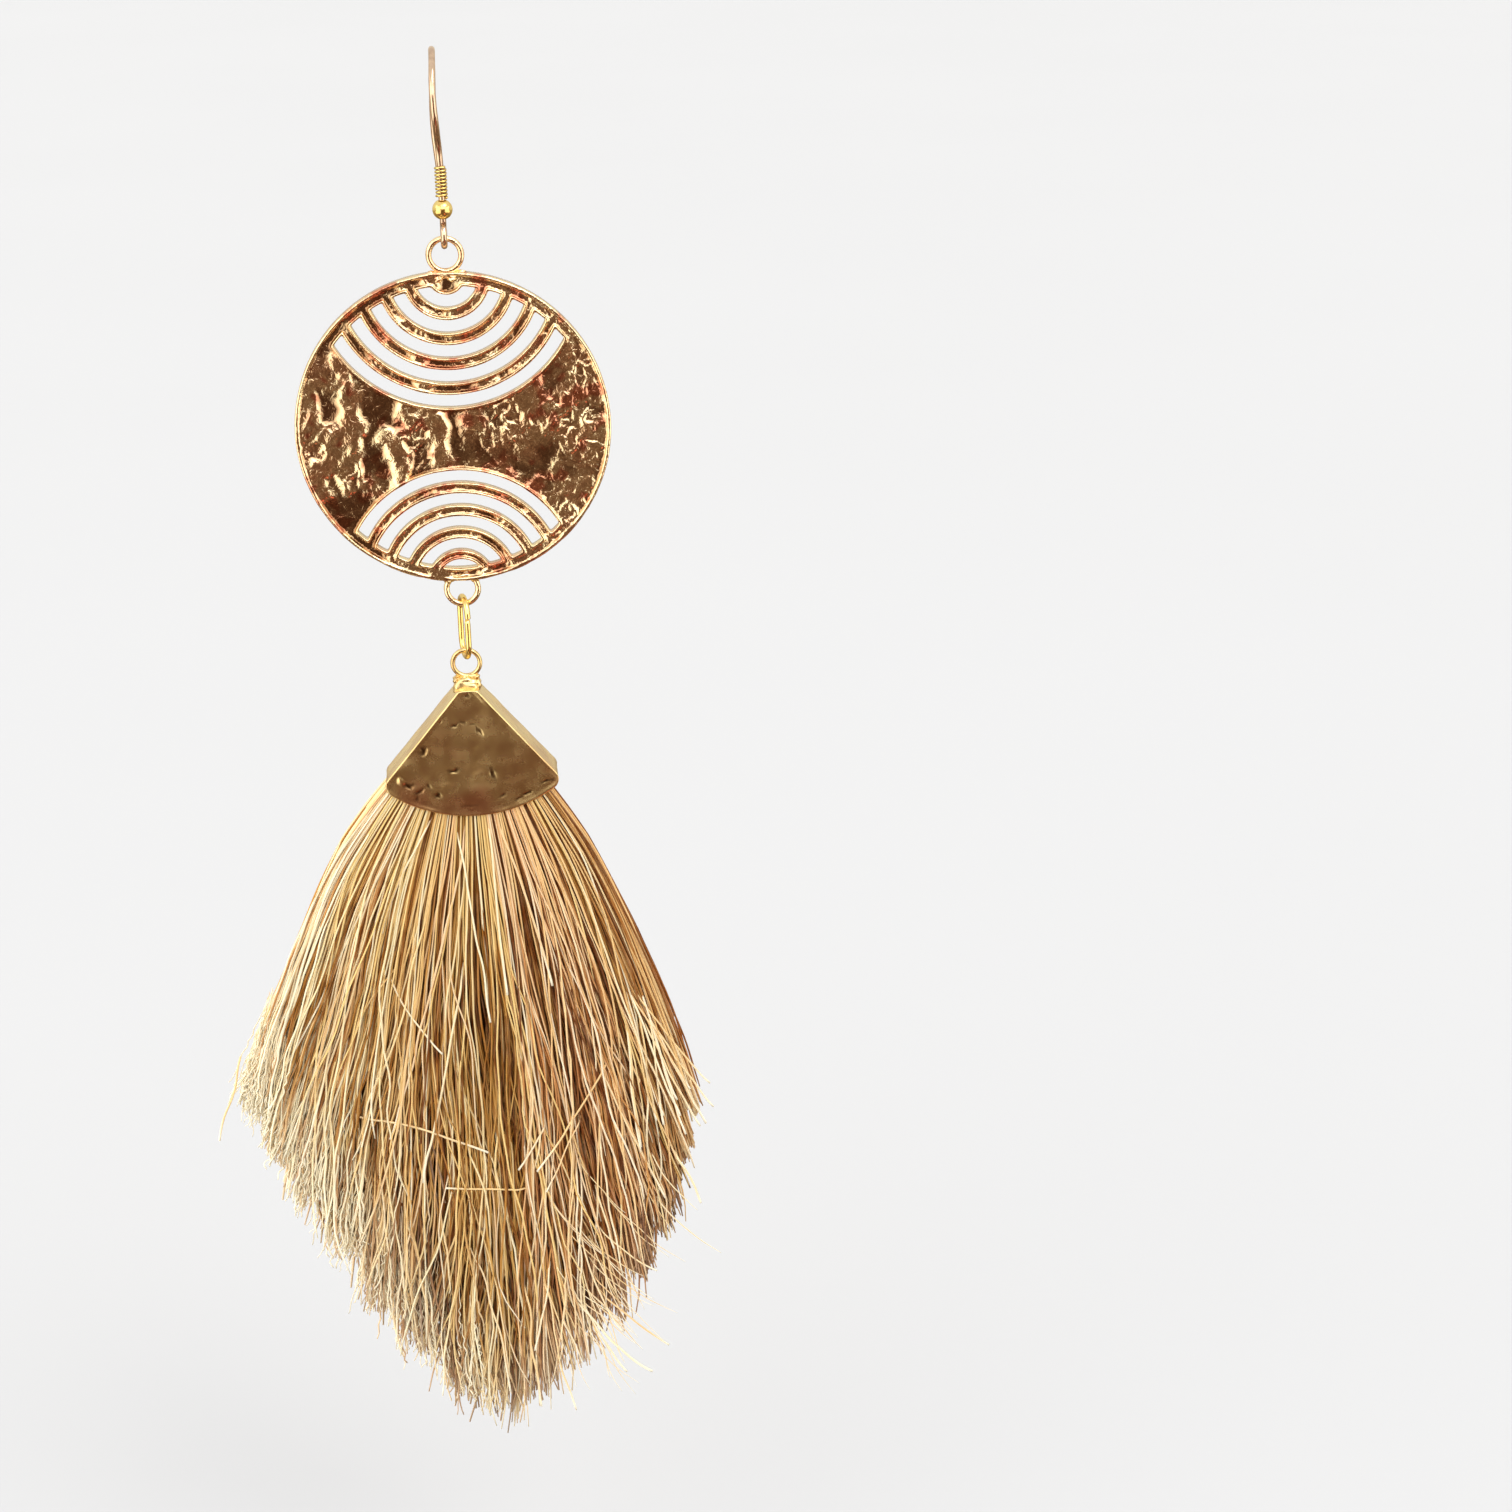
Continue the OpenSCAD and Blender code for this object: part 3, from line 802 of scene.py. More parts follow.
def disc():
    """The pierced plate: polished raised edges, a hammered field, slots cut through and a plain back."""
    front_loops, share = [], []
    for place, height in LIP_PROFILE:
        loops = plate_loops(place * RIM_LIP_W, place * LIP_W, FIELD_STEP)
        share += [np.full(len(loop), height) for loop in loops]
        front_loops += loops
    grid = field_grid(FIELD_STEP, 0.1, 3)
    share.append(np.zeros(len(grid)))
    flat, front_faces, place = triangulated(front_loops, grid)
    height = np.zeros(len(flat))
    height[place] = np.concatenate(share)
    x, z = flat[:, 0], flat[:, 1]
    relief = crumpled(x, z)
    dented_lip = LIP_H * (1 + 0.12 * drift(x, z, 1.4, 51)) + 0.05 * drift(x, z, 2.2, 52)
    front_y = -(DISC_T / 2 - LIP_H) - np.where(height > 0, height * dented_lip + (1 - height) * relief, relief)
    front_y = np.maximum(front_y, -DISC_T / 2)
    front = np.stack([x, front_y, z], axis=1)

    edges = front_loops[: 1 + len(SLOTS)]
    back_loops = [*edges, *plate_loops(BACK_EDGE, BACK_SLOT_EDGE, BACK_STEP)]
    back_flat, back_faces, back_place = triangulated(back_loops, field_grid(0.4, 0.05, 7))
    edge_count = sum(len(loop) for loop in edges)
    back_y = DISC_T / 2 - 0.03 + 0.03 * drift(back_flat[:, 0], back_flat[:, 1], 2.5, 53)
    back_y[back_place[:edge_count]] = DISC_T / 2 - BACK_EDGE
    back = np.stack([back_flat[:, 0], back_y, back_flat[:, 1]], axis=1)

    walls, start = [], 0
    for loop in edges:
        here = np.arange(start, start + len(loop))
        ahead = np.roll(here, -1)
        a, b = place[here], place[ahead]
        c, d = back_place[ahead] + len(front), back_place[here] + len(front)
        walls.append(np.stack([a, b, c, d], axis=1))
        start += len(loop)
    points = np.concatenate([front, back]) + (0, 0, DISC_Z)
    parts = [(points, [front_faces, back_faces + len(front), np.concatenate(walls)])]
    parts.append(eyelet(TOP_RING_Z, TOP_RING_R, RING_WIRE_D, 61))
    parts.append(eyelet(FOOT_RING_Z, FOOT_RING_R, RING_WIRE_D, 62))
    for across, up, wide, deep, high, seed in SOLDER:
        parts.append(lump((across, 0, DISC_Z + up), (wide, deep, high), 1.0, 0.26, seed))
    piece = solid("hammered_disc", *merged(parts))
    # Painted shade: darker down in the hammered field's valleys, none on the raised edges
    valley_shade = np.where(height > 0, 0, 0.75 * np.clip(-0.04 - relief, 0, 0.16) / 0.16)
    # Painted pink-red reflections in scattered patches
    red_patches = np.clip(2.4 * turned_drift(x, z, 1.6, 33, 20) + 1.2 * turned_drift(x, z, 0.6, 34, 50) - 1.05, 0, 0.8)
    values_on(piece, "recess", valley_shade)
    values_on(piece, "red_glint_and_tint", red_patches)
    return give(piece, DISC_METAL, "medallion", "disc", "disc")


def merged(parts):
    """One set of points and faces from several."""
    points, faces, start = [], [], 0
    for part, groups in parts:
        points.append(part)
        faces += [np.asarray(g) + start for g in groups]
        start += len(part)
    return np.concatenate(points), faces


def eyelet(height, radius, wire_d, seed):
    """A cast ring of slightly uneven wire that faces the front."""
    around, across = 96, 18
    a = TAU * np.arange(around) / around
    wire = wire_d / 2 * (1 + 0.05 * drift(a * 1.2, a * 0, 1.0, seed))
    b = TAU * np.arange(across) / across
    reach = radius + wire[:, None] * np.cos(b)[None, :]
    points = np.stack(
        [reach * np.cos(a)[:, None], wire[:, None] * np.sin(b)[None, :], height + reach * np.sin(a)[:, None]],
        axis=2,
    )
    return points.reshape(-1, 3), [grid_faces(around, across, closed_rows=True)]


# Solder where the rings meet the disc: place across, place up from the disc's centre, and three radii
SOLDER = [
    (-1.35, 15.55, 0.55, 0.42, 0.35, 71),
    (1.40, 15.55, 0.55, 0.42, 0.35, 72),
    (0.00, 15.35, 1.10, 0.52, 0.42, 73),
    (-0.75, 15.0, 0.5, 0.6, 0.4, 77),
    (0.65, 15.05, 0.5, 0.58, 0.38, 78),
    (-1.30, -15.65, 0.50, 0.45, 0.40, 74),
    (1.35, -15.65, 0.50, 0.45, 0.38, 75),
    (0.00, -15.30, 1.00, 0.50, 0.40, 76),
]


def lump(place, half, square, uneven, seed):
    """A small uneven blob of metal. square runs from 1 for an ellipsoid down to nearly 0 for a block."""
    rows, columns = 18, 28
    lean = math.pi * (np.arange(rows) + 0.5) / rows
    turn = TAU * np.arange(columns) / columns
    flat = np.stack([np.cos(turn), np.sin(turn)], axis=1)
    flat = np.sign(flat) * np.abs(flat) ** square
    out = np.sin(lean) ** square
    up = np.sign(np.cos(lean)) * np.abs(np.cos(lean)) ** square
    shape = np.stack([np.outer(out, flat[:, 0]), np.outer(out, flat[:, 1]), np.outer(up, np.ones(columns))], axis=2)
    swell = 1 + uneven * drift(shape[..., 0] * 1.5 + seed, shape[..., 2] * 1.5 + shape[..., 1], 0.7, seed)
    points = shape * swell[..., None] * half + place
    ends = np.stack([np.arange(columns), (rows - 1) * columns + np.arange(columns)[::-1]])
    return points.reshape(-1, 3), [grid_faces(rows, columns), ends]


# Cap

# Dents in the cap's front, mirrored on its back: place across, depth under the apex, two half sizes, turn in
# degrees and depth
CAP_DENTS = [
    (-0.1, 1.8, 0.40, 0.20, 10, 0.07),
    (-1.5, 4.8, 0.50, 0.22, -12, 0.10),
    (-0.6, 4.6, 0.30, 0.18, 25, 0.06),
    (0.3, 4.8, 0.36, 0.16, 20, 0.07),
    (1.0, 5.6, 0.55, 0.18, 60, 0.10),
    (-3.0, 4.5, 0.22, 0.14, 0, 0.07),
    (-4.9, 7.5, 0.34, 0.42, 20, 0.14),
    (-1.9, 9.8, 0.50, 0.20, -12, 0.12),
    (2.1, 10.2, 0.24, 0.60, -15, 0.12),
    (-6.5, 11.2, 0.50, 0.28, 10, 0.12),
    (-5.4, 11.9, 0.45, 0.24, -25, 0.12),
    (-3.7, 12.4, 0.36, 0.28, 30, 0.14),
    (-5.8, 12.6, 0.30, 0.20, -30, 0.09),
    (-4.5, 11.4, 0.20, 0.36, -30, 0.09),
    (3.2, 12.7, 0.40, 0.16, -14, 0.10),
    (5.6, 12.6, 0.55, 0.16, -20, 0.12),
    (4.7, 13.2, 0.40, 0.14, -28, 0.09),
    (7.8, 11.4, 0.60, 0.16, -14, 0.10),
    (-0.6, 13.6, 0.90, 0.14, 2, 0.05),
    (5.4, 9.2, 0.16, 0.14, 0, 0.05),
    (-7.3, 10.7, 0.50, 0.40, 35, -0.12),
    (0.6, 10.5, 0.60, 0.55, 0, -0.05),
    (-2.6, 11.2, 0.60, 0.40, 10, -0.05),
]
CAP_EDGE = 0.16


def cap_mouth(angle):
    """Distance from the apex to the mouth's edge at an angle: a round mouth with a rounded corner at each side."""
    centre = CAP_R - CAP_CORNER_R
    turn = CAP_HALF_ANGLE - math.asin(CAP_CORNER_R / centre)
    past = np.maximum(np.abs(angle) - turn, 0)
    corner = centre * np.cos(past) + np.sqrt(np.maximum(CAP_CORNER_R**2 - (centre * np.sin(past)) ** 2, 0))
    return np.where(past > 0, corner, CAP_R)


def cap_section(share, inset, top):
    """One ring round the cap, set in from its outside, at a share of the way from its top to its mouth."""
    front, side, bends = 110, 14, 3
    bend = np.linspace(0, math.pi / 2, bends + 2)[1:-1]
    across = np.linspace(-1, 1, front)
    deep = np.linspace(-1, 1, side)
    ones = np.ones
    # For half of the ring: part of the angle, distance in from the side, and depth
    angle_part = np.concatenate([across, ones(bends), ones(side), ones(bends)])
    angle_part = np.concatenate([angle_part, -angle_part])
    from_side = np.concatenate(
        [np.full(front, CAP_EDGE), CAP_EDGE * (1 - np.sin(bend)), np.zeros(side), CAP_EDGE * (1 - np.cos(bend))]
    )
    from_side = np.concatenate([from_side, from_side]) + inset
    radius = top / math.cos(CAP_HALF_ANGLE) * ones(len(from_side))
    for _ in range(4):
        angle = angle_part * (CAP_HALF_ANGLE - np.arcsin(np.clip(from_side / radius, 0, 0.9)))
        near = top / np.cos(angle)
        radius = near + (cap_mouth(angle) - near) * share
    depth = radius * np.cos(angle)
    half = cap_half(depth) - inset
    edge_count = bends + side + bends
    face = np.concatenate([-ones(front), np.zeros(edge_count), ones(front), np.zeros(edge_count)])
    edge = half - CAP_EDGE
    stretch = [
        -half[:front],
        -edge[front : front + bends] - CAP_EDGE * np.cos(bend),
        edge[front + bends : front + bends + side] * deep,
        edge[front + bends + side : front + 2 * bends + side] + CAP_EDGE * np.sin(bend),
    ]
    quarter = np.concatenate(stretch)
    y = np.concatenate([quarter, -quarter])
    return np.stack([radius * np.sin(angle), y, APEX_Z - depth], axis=1), face


def cap():
    """The cast cap: a hollow wedge with pitted faces and soft edges, a lumpy neck and a ring of wire."""
    levels = [(0, 0.2, CAP_TOP), (0, 0.06, CAP_TOP)]
    levels += [(share, 0, CAP_TOP) for share in np.concatenate([[0.008], np.linspace(0.02, 0.985, 92), [0.994]])]
    levels += [(1, 0.07, CAP_TOP), (1, CAP_WALL - 0.07, CAP_TOP + CAP_WALL)]
    levels += [(share, CAP_WALL, CAP_TOP + CAP_WALL) for share in np.linspace(0.994, 0, 14)]
    rings = [cap_section(*level) for level in levels]
    points = np.concatenate([ring for ring, _ in rings])
    columns = len(rings[0][0])
    face = np.concatenate([flat for _, flat in rings])
    outside = np.repeat([level[1] == 0 for level in levels], columns)
    ends = np.stack([np.arange(columns)[::-1], len(points) - columns + np.arange(columns)])
    moved, marks = cap_relief(points, face)
    points += moved * outside[:, None]
    parts = [(points, [grid_faces(len(levels), columns), ends])]
    parts.append(eyelet(CAP_RING_Z, CAP_RING_R, CAP_RING_WIRE_D, 63))
    for x, depth, half, square, seed in CAP_LUMPS:
        parts.append(lump((x, 0, APEX_Z - depth), half, square, 0.22, seed))
    piece = solid("dented_cap", *merged(parts))
    # A red-brown tint in patches, towards the cap's mouth
    low = unit((APEX_Z - points[:, 2] - 7) / 6)
    red_patches = unit(0.25 + 1.3 * turned_drift(points[:, 0], points[:, 2], 3.0, 84, 20)) * low * 0.55
    values_on(piece, "recess", marks * outside)
    values_on(piece, "red_glint_and_tint", red_patches * np.abs(face))
    return give(piece, CAP_METAL, "tassel", "cap", "tassel_cap")


# Neck and solder on the cap: place across, depth under the apex, half sizes, squareness and seed
CAP_LUMPS = [
    (0.00, 1.10, (1.38, 1.22, 0.95), 0.6, 91),
    (-1.05, 0.50, (0.42, 0.80, 0.45), 0.9, 92),
    (-0.35, 0.30, (0.55, 0.55, 0.24), 0.9, 93),
    (0.70, 0.20, (0.62, 0.55, 0.26), 0.8, 94),
    (1.10, 1.00, (0.36, 1.05, 0.65), 0.8, 95),
    (-1.15, 1.30, (0.36, 1.10, 0.60), 0.8, 96),
]


def cap_relief(points, face):
    """How far each point of the cap's outside moves, and how much of a dent it is.

    face is -1 on the front, 1 on the back and 0 on the sides.
    """
    x, y, depth = points[:, 0], points[:, 1], APEX_Z - points[:, 2]
    from_side = depth * math.sin(CAP_HALF_ANGLE) - np.abs(x) * math.cos(CAP_HALF_ANGLE)
    from_mouth = CAP_R - np.hypot(x, depth)
    inside = unit((np.minimum(from_side, from_mouth) - 0.2) / 0.35)
    side = np.where(y < 0, 0, 40)
    wave = 0.06 * drift(x + side, depth, 2.8, 81) + 0.016 * drift(x + side, depth, 1.1, 82)
    grain = 0.004 * drift(x + side, depth, 0.5, 83)
    dents, marks = np.zeros(len(x)), np.zeros(len(x))
    ragged_x = x + 0.16 * drift(x, depth, 0.5, 88) + 0.08 * drift(x, depth, 0.24, 90)
    ragged_depth = depth + 0.16 * drift(x, depth, 0.5, 89) + 0.08 * drift(x, depth, 0.24, 91)
    for place, down, wide, high, turn, drop in CAP_DENTS:
        mirrored = np.where(y < 0, place, -place)
        c, s = math.cos(math.radians(turn)), math.sin(math.radians(turn))
        a = ((ragged_x - mirrored) * c + (ragged_depth - down) * s) / wide
        b = ((ragged_depth - down) * c - (ragged_x - mirrored) * s) / high
        away = np.hypot(a, b)
        dents -= 0.8 * drop * np.exp(-(away**2.5)) - 0.12 * drop * np.exp(-(((away - 1.35) / 0.35) ** 2))
        marks = np.maximum(marks, min(0.95, 8 * drop) * np.exp(-((away / 1.25) ** 3)))
    hollowed = inside * (wave + grain + dents - 0.03)
    walls = 0.03 * drift(y * 1.4, depth, 1.6, 86) + 0.015 * drift(y, depth, 0.6, 87)
    moved = np.zeros((len(x), 3))
    moved[:, 1] = face * hollowed
    outward = np.sign(x) * (face == 0) * walls * unit((depth - 1.5) / 1.5)
    moved[:, 0] = outward * math.cos(CAP_HALF_ANGLE)
    moved[:, 2] = np.abs(outward) * np.sign(walls) * math.sin(CAP_HALF_ANGLE)
    return moved, marks * inside * np.abs(face)


# Fringe

FAN_INSET = (CAP_WALL + HEAD_GAP) / math.sin(CAP_HALF_ANGLE)
FAN_APEX_Z = APEX_Z - FAN_INSET
MOUTH_R = CAP_R - FAN_INSET
CAP_TOP = CAP_TOP_W / 2 / math.tan(CAP_HALF_ANGLE)


def cap_half(depth):
    """Half the cap's thickness at a depth under its apex."""
    return CAP_TOP_T / 2 + (depth - CAP_TOP) * (CAP_MOUTH_T - CAP_TOP_T) / 2 / (CAP_R - CAP_TOP)


def fan_angle(place):
    return place * CAP_HALF_ANGLE * np.where(place > 0, RIGHT_SPREAD, 1)


def fall_at(place):
    return FRINGE_L * looked_up(FALL, place)


def half_thickness(place, depth, mouth_depth, along):
    """Half the fringe's thickness: the hollow's inside the cap, then swelling out, and thin at the two sides."""
    held = cap_half(np.minimum(depth, mouth_depth) + FAN_INSET) - CAP_WALL - HEAD_GAP
    half = held + (FRINGE_T / 2 - held) * (1 - np.exp(-3 * np.maximum(along, 0) / FRINGE_L))
    free = unit(along / (FRINGE_L / 6))
    return half * (1 - EDGE_THINNING * free * np.abs(place) ** 3)


FAN_REACH = 1.15
FAN_START = -2.5


def fan_grid():
    """Where strands lie in the XZ plane, for a grid of places across the fan and distances below the mouth."""
    angle = fan_angle(np.linspace(-FAN_REACH, FAN_REACH, 139))[:, None]
    along = np.linspace(FAN_START, 1.1 * FRINGE_L, 240)[None, :]
    lean = angle * np.exp(-np.maximum(along, 0) / FRINGE_BEND_L)
    mean_lean = (lean[:, 1:] + lean[:, :-1]) / 2
    step = np.diff(along)
    start = MOUTH_R + FAN_START
    x = np.concatenate([start * np.sin(angle), np.sin(mean_lean) * step], axis=1).cumsum(axis=1)
    z = np.concatenate([-start * np.cos(angle), -np.cos(mean_lean) * step], axis=1).cumsum(axis=1)
    return np.stack([x, z], axis=2)


FAN = fan_grid()


def fan_at(place, along):
    """Position across and under the fan's apex, between the points of the grid."""
    rows, columns = FAN.shape[:2]
    u = np.clip((place + FAN_REACH) / (2 * FAN_REACH), 0, 0.9999) * (rows - 1)
    v = np.clip((along - FAN_START) / (1.1 * FRINGE_L - FAN_START), 0, 0.9999) * (columns - 1)
    i, j = u.astype(int), v.astype(int)
    u, v = (u - i)[..., None], (v - j)[..., None]
    near = FAN[i, j] * (1 - v) + FAN[i, j + 1] * v
    far = FAN[i + 1, j] * (1 - v) + FAN[i + 1, j + 1] * v
    return near * (1 - u) + far * u


# Distance below the mouth, and how far the threads of the fan's left and right side lie to the right there
LEFT_SHIFT = [(0, 0), (8, -0.4), (22, -0.5), (34, 0.8), (44, 1.6)]
RIGHT_SHIFT = [(0, 0), (8, 0.2), (22, -0.6), (40, -1.1)]


def fan_paths(place, layer, along):
    """Strand paths in the frame. place and layer run from -1 to 1; along is the distance below the mouth."""
    flat = fan_at(place, along)
    shift = looked_up(LEFT_SHIFT, along) * unit(-place) ** 3, looked_up(RIGHT_SHIFT, along) * unit(place) ** 3
    angle = fan_angle(place)
    half = half_thickness(place, -flat[..., 1], MOUTH_R * np.cos(angle), along)
    return np.stack([flat[..., 0] + shift[0] + shift[1], layer * half, flat[..., 1] + FAN_APEX_Z], axis=2)


def waves(rng, along, lengths, sizes):
    """Smooth sideways wander of each strand: a few sines with their own phases, growing below the mouth."""
    count = len(along)
    total = np.zeros((count, along.shape[1], 2))
    grown = np.clip(np.maximum(along, 0) / 25, 0, 1.5)
    for length, size in zip(lengths, sizes):
        phase = rng.uniform(0, TAU, (count, 1, 2))
        stretch = rng.uniform(0.75, 1.35, (count, 1, 2))
        strength = size * rng.normal(0, 1, (count, 1, 2))
        total += strength * (np.sin(TAU * along[:, :, None] / (length * stretch) + phase) - np.sin(phase))
    return total * grown[:, :, None]


def lock_table():
    """The locks that the threads gather into, each with its own length, tone, cast and swing."""
    rng = np.random.default_rng(77)
    count = 110
    return {
        "place": rng.uniform(-1, 1, count),
        "layer": rng.uniform(-0.95, 0.95, count),
        "length": np.clip(1 + rng.normal(-0.01, 0.04, count), 0.91, 1.03),
        "tone": rng.normal(0, 0.09, count),
        "cast": rng.uniform(-0.3, 1.0, count),
        "phase": rng.uniform(0, TAU, count),
        "swing": rng.normal(0, 0.5, count),
    }


LOCKS = lock_table()
# Places across the fan where one large lock ends and the next begins
LOCK_EDGES = [-1, -0.88, -0.74, -0.60, -0.45, -0.31, -0.17, -0.06, 0.09, 0.21, 0.36, 0.48, 0.61, 0.75, 0.88, 1]
# Place across the fan, and how much of the fringe's length is thick there: only wisps reach further
THIN_ENDS = [(-1, 0.97), (-0.85, 0.95), (-0.5, 0.94), (-0.2, 0.95), (0, 0.98), (1, 0.99)]
CURL_L = 13


def thread_places(length, places, fine):
    """Distances below the mouth. fine puts half of the places into the last stretch, where the thread curls."""
    share = np.linspace(0, 1, places)[None, :]
    start = -1.6
    length = length[:, None]
    if not fine:
        return start + (length - start) * share
    bend = length - CURL_L
    return np.where(share < 0.5, start + (bend - start) * share * 2, bend + CURL_L * (share * 2 - 1))


def crinkle(rng, along, amount, pace):
    """Fine sideways and depthwise curl of each thread, of a size that amount gives at every place."""
    count = len(along)
    pace = rng.uniform(*pace, (count, 1))
    phase = rng.uniform(0, TAU, (count, 3, 1))
    bent = along + 0.35 * pace * np.sin(TAU * along / (2.7 * pace) + phase[:, 2])
    return np.stack([amount * np.sin(TAU * bent / pace + phase[:, i]) for i in range(2)], axis=2)


# How threads stray, gather and end
ROAM = 0.09
ROAM_LIMIT = 1.8
LOCK_NEARNESS = 60
POINTED_LOCK = 0.05
SHORT_SHARE = 0.25
SHORT_LENGTHS = (0.68, 0.97)
FULL_LENGTHS = (0.98, 1.0)
GATHER_L = 34
SWING_L = 46
PINCH = 1.2
PINCH_AT, PINCH_SPREAD = 23, 9


def thread_lengths(rng, lock, ended):
    """Length of each thread. A large lock is longest in its middle, and some threads in it are short."""
    count = len(ended)
    edges = np.array(LOCK_EDGES)
    large = np.clip(np.searchsorted(edges, ended) - 1, 0, len(edges) - 2)
    middle, width = (edges[large] + edges[large + 1]) / 2, edges[large + 1] - edges[large]
    pointed = 1 + POINTED_LOCK / 2 - POINTED_LOCK * np.abs(ended - middle) / width * 2
    full = fall_at(0.1 * ended + 0.9 * middle) * pointed * (1 + 0.5 * (LOCKS["length"][lock] - 1))
    full = full * (1 + rng.normal(0, 0.007, count)) * looked_up(THIN_ENDS, ended)
    short = rng.uniform(0, 1, count) < SHORT_SHARE
    return full * np.where(short, rng.uniform(*SHORT_LENGTHS, count), rng.uniform(*FULL_LENGTHS, count))


# By distance below the mouth: how much darker a thread is, as painted shade under the cap, and its thickness
SHADE = [(0, 0.34), (6, 0.26), (16, 0.12), (34, 0)]
THIN_START = [(0, 0.9), (12, 1)]
# By share of a thread's length: how much brighter it is, and its thickness
GLOW = [(0.7, 0), (1, 0.28)]
THIN_TIP = [(0, 1), (0.93, 1), (1, 0.6)]


def thread_looks(place, lock, along, ratio):
    """Tone, cast, paleness and thickness: paler at the left and towards the ends, lighter at the left and the sides
    where light is painted, and darker under the mouth where shade is painted.
    """
    left = unit(-place)
    # Painted light: the tone is lighter at the left, where the light falls, and at the two sides
    light = 0.42 * unit((-place - 0.2) / 0.6) + 0.05 * unit(place) ** 2 - 0.09
    light += 0.30 * unit((np.abs(place) - 0.72) / 0.2)
    glow = looked_up(GLOW, ratio) * np.clip(1 - 1.1 * place, 0.35, 1)[:, None]
    left_end = unit((ratio - 0.72) / 0.28) ** 1.2 * unit(2.2 * left)[:, None] * 0.7
    end = unit((ratio - 0.86) / 0.14) * 0.5 * np.clip(1.1 - place, 0.3, 1)[:, None]
    return {
        "tone": (LOCKS["tone"][lock] + light)[:, None] - looked_up(SHADE, along) + glow,
        "cast": unit(LOCKS["cast"][lock] + 0.35 * place),
        "pale": np.maximum(left_end, end),
        "thick": looked_up(THIN_START, along) * looked_up(THIN_TIP, ratio),
    }


def strands(rng, place, layer, places, fine=False, roam=ROAM):
    """Paths of threads that leave the cap's mouth and gather into locks, and what their looks depend on.

    roam is how far across the fan a thread strays on its way down.
    """
    count = len(place)
    apart = (place[:, None] - LOCKS["place"]) ** 2 * LOCK_NEARNESS + (layer[:, None] - LOCKS["layer"]) ** 2
    lock = apart.argmin(axis=1)
    lock_place = LOCKS["place"][lock]
    stray = np.clip(rng.normal(0, roam, count), -ROAM_LIMIT * roam, ROAM_LIMIT * roam)
    stray = np.where(stray * place > 0, stray * (1 - np.abs(place) ** 2), stray)
    ended = np.clip(place + 0.5 * (lock_place - place) + stray, -1, 1)
    length = thread_lengths(rng, lock, ended)
    along = thread_places(length, places, fine)
    ratio = unit(along / length[:, None])
    flare = unit((ratio - 0.84) / 0.16) ** 2
    pull = unit(along / GATHER_L) ** 1.2 * rng.uniform(0.25, 0.6, (count, 1)) * (1 - 0.5 * flare)
    across = place[:, None] + pull * (lock_place - place)[:, None] + stray[:, None] * ratio**1.3
    deep = layer[:, None] + 0.3 * pull * (LOCKS["layer"][lock] * np.abs(layer) ** 0.5 - layer)[:, None]
    paths = fan_paths(across, deep, along)
    swing = np.sin(TAU * along / SWING_L + LOCKS["phase"][lock][:, None]) * LOCKS["swing"][lock][:, None]
    pinch = PINCH * unit(-place)[:, None] ** 2 * np.exp(-(((along - PINCH_AT) / PINCH_SPREAD) ** 2))
    wander = waves(rng, along, (44, 17, 7), (0.40, 0.20, 0.07))
    steady = 1 - 0.75 * unit(np.abs(across)) ** 3
    paths[:, :, 0] += steady * (swing * np.clip(along / 30, 0, 1.5) + wander[:, :, 0]) + pinch
    paths[:, :, 1] += 0.5 * wander[:, :, 1]
    if fine:
        curl = unit((along - length[:, None] + CURL_L) / CURL_L) ** 1.4
        amount = curl * rng.uniform(0.08, 0.28, (count, 1)) * np.clip(-2.5 * place, 0.15, 1)[:, None]
        paths[:, :, :2] += crinkle(rng, along, amount, (1.8, 3.2))
    return paths, thread_looks(place, lock, along, ratio)


def thread_piece(name, paths, radius, looks, sides=3):
    """Threads as one piece, with the tone, cast and paleness of each for the material to read."""
    count, places = paths.shape[:2]
    rng = np.random.default_rng(len(name) + count)
    piece = new_object(name, *tubes(paths, radius[:, None] * looks["thick"], sides, rng.uniform(0, TAU, count)))
    for key in ("tone", "cast", "pale"):
        values = looks[key]
        if values.ndim == 1:
            values = np.broadcast_to(values[:, None], (count, places))
        values_on(piece, key, np.repeat(unit(values), sides))
    return give(piece, THREAD, "tassel", "thread", "fringe")


def faced(rng, count, inner, outer, front=0.58):
    """Layers of threads near the front and the back, and how far out each one lies from 0 to 1."""
    out = rng.uniform(0, 1, count)
    side = np.where(rng.uniform(0, 1, count) < front, -1, 1)
    return side * (inner + (outer - inner) * out), out


CORE_THREADS = 1300
SHADED_SHARE = 0.36
DRAWN_THREADS = 190
FLUFF_THREADS = 620
SPRAY_THREADS = 13
WISPS = 40
# Outer threads by stretch of the fan: name, from and to place, number, places on a thread and curled ends
OUTER_THREADS = [
    ("fringe_left", -1.0, -0.42, 540, 44, True),
    ("fringe_middle_left", -0.42, 0.02, 460, 44, True),
    ("fringe_right", 0.02, 1.0, 1000, 28, False),
]


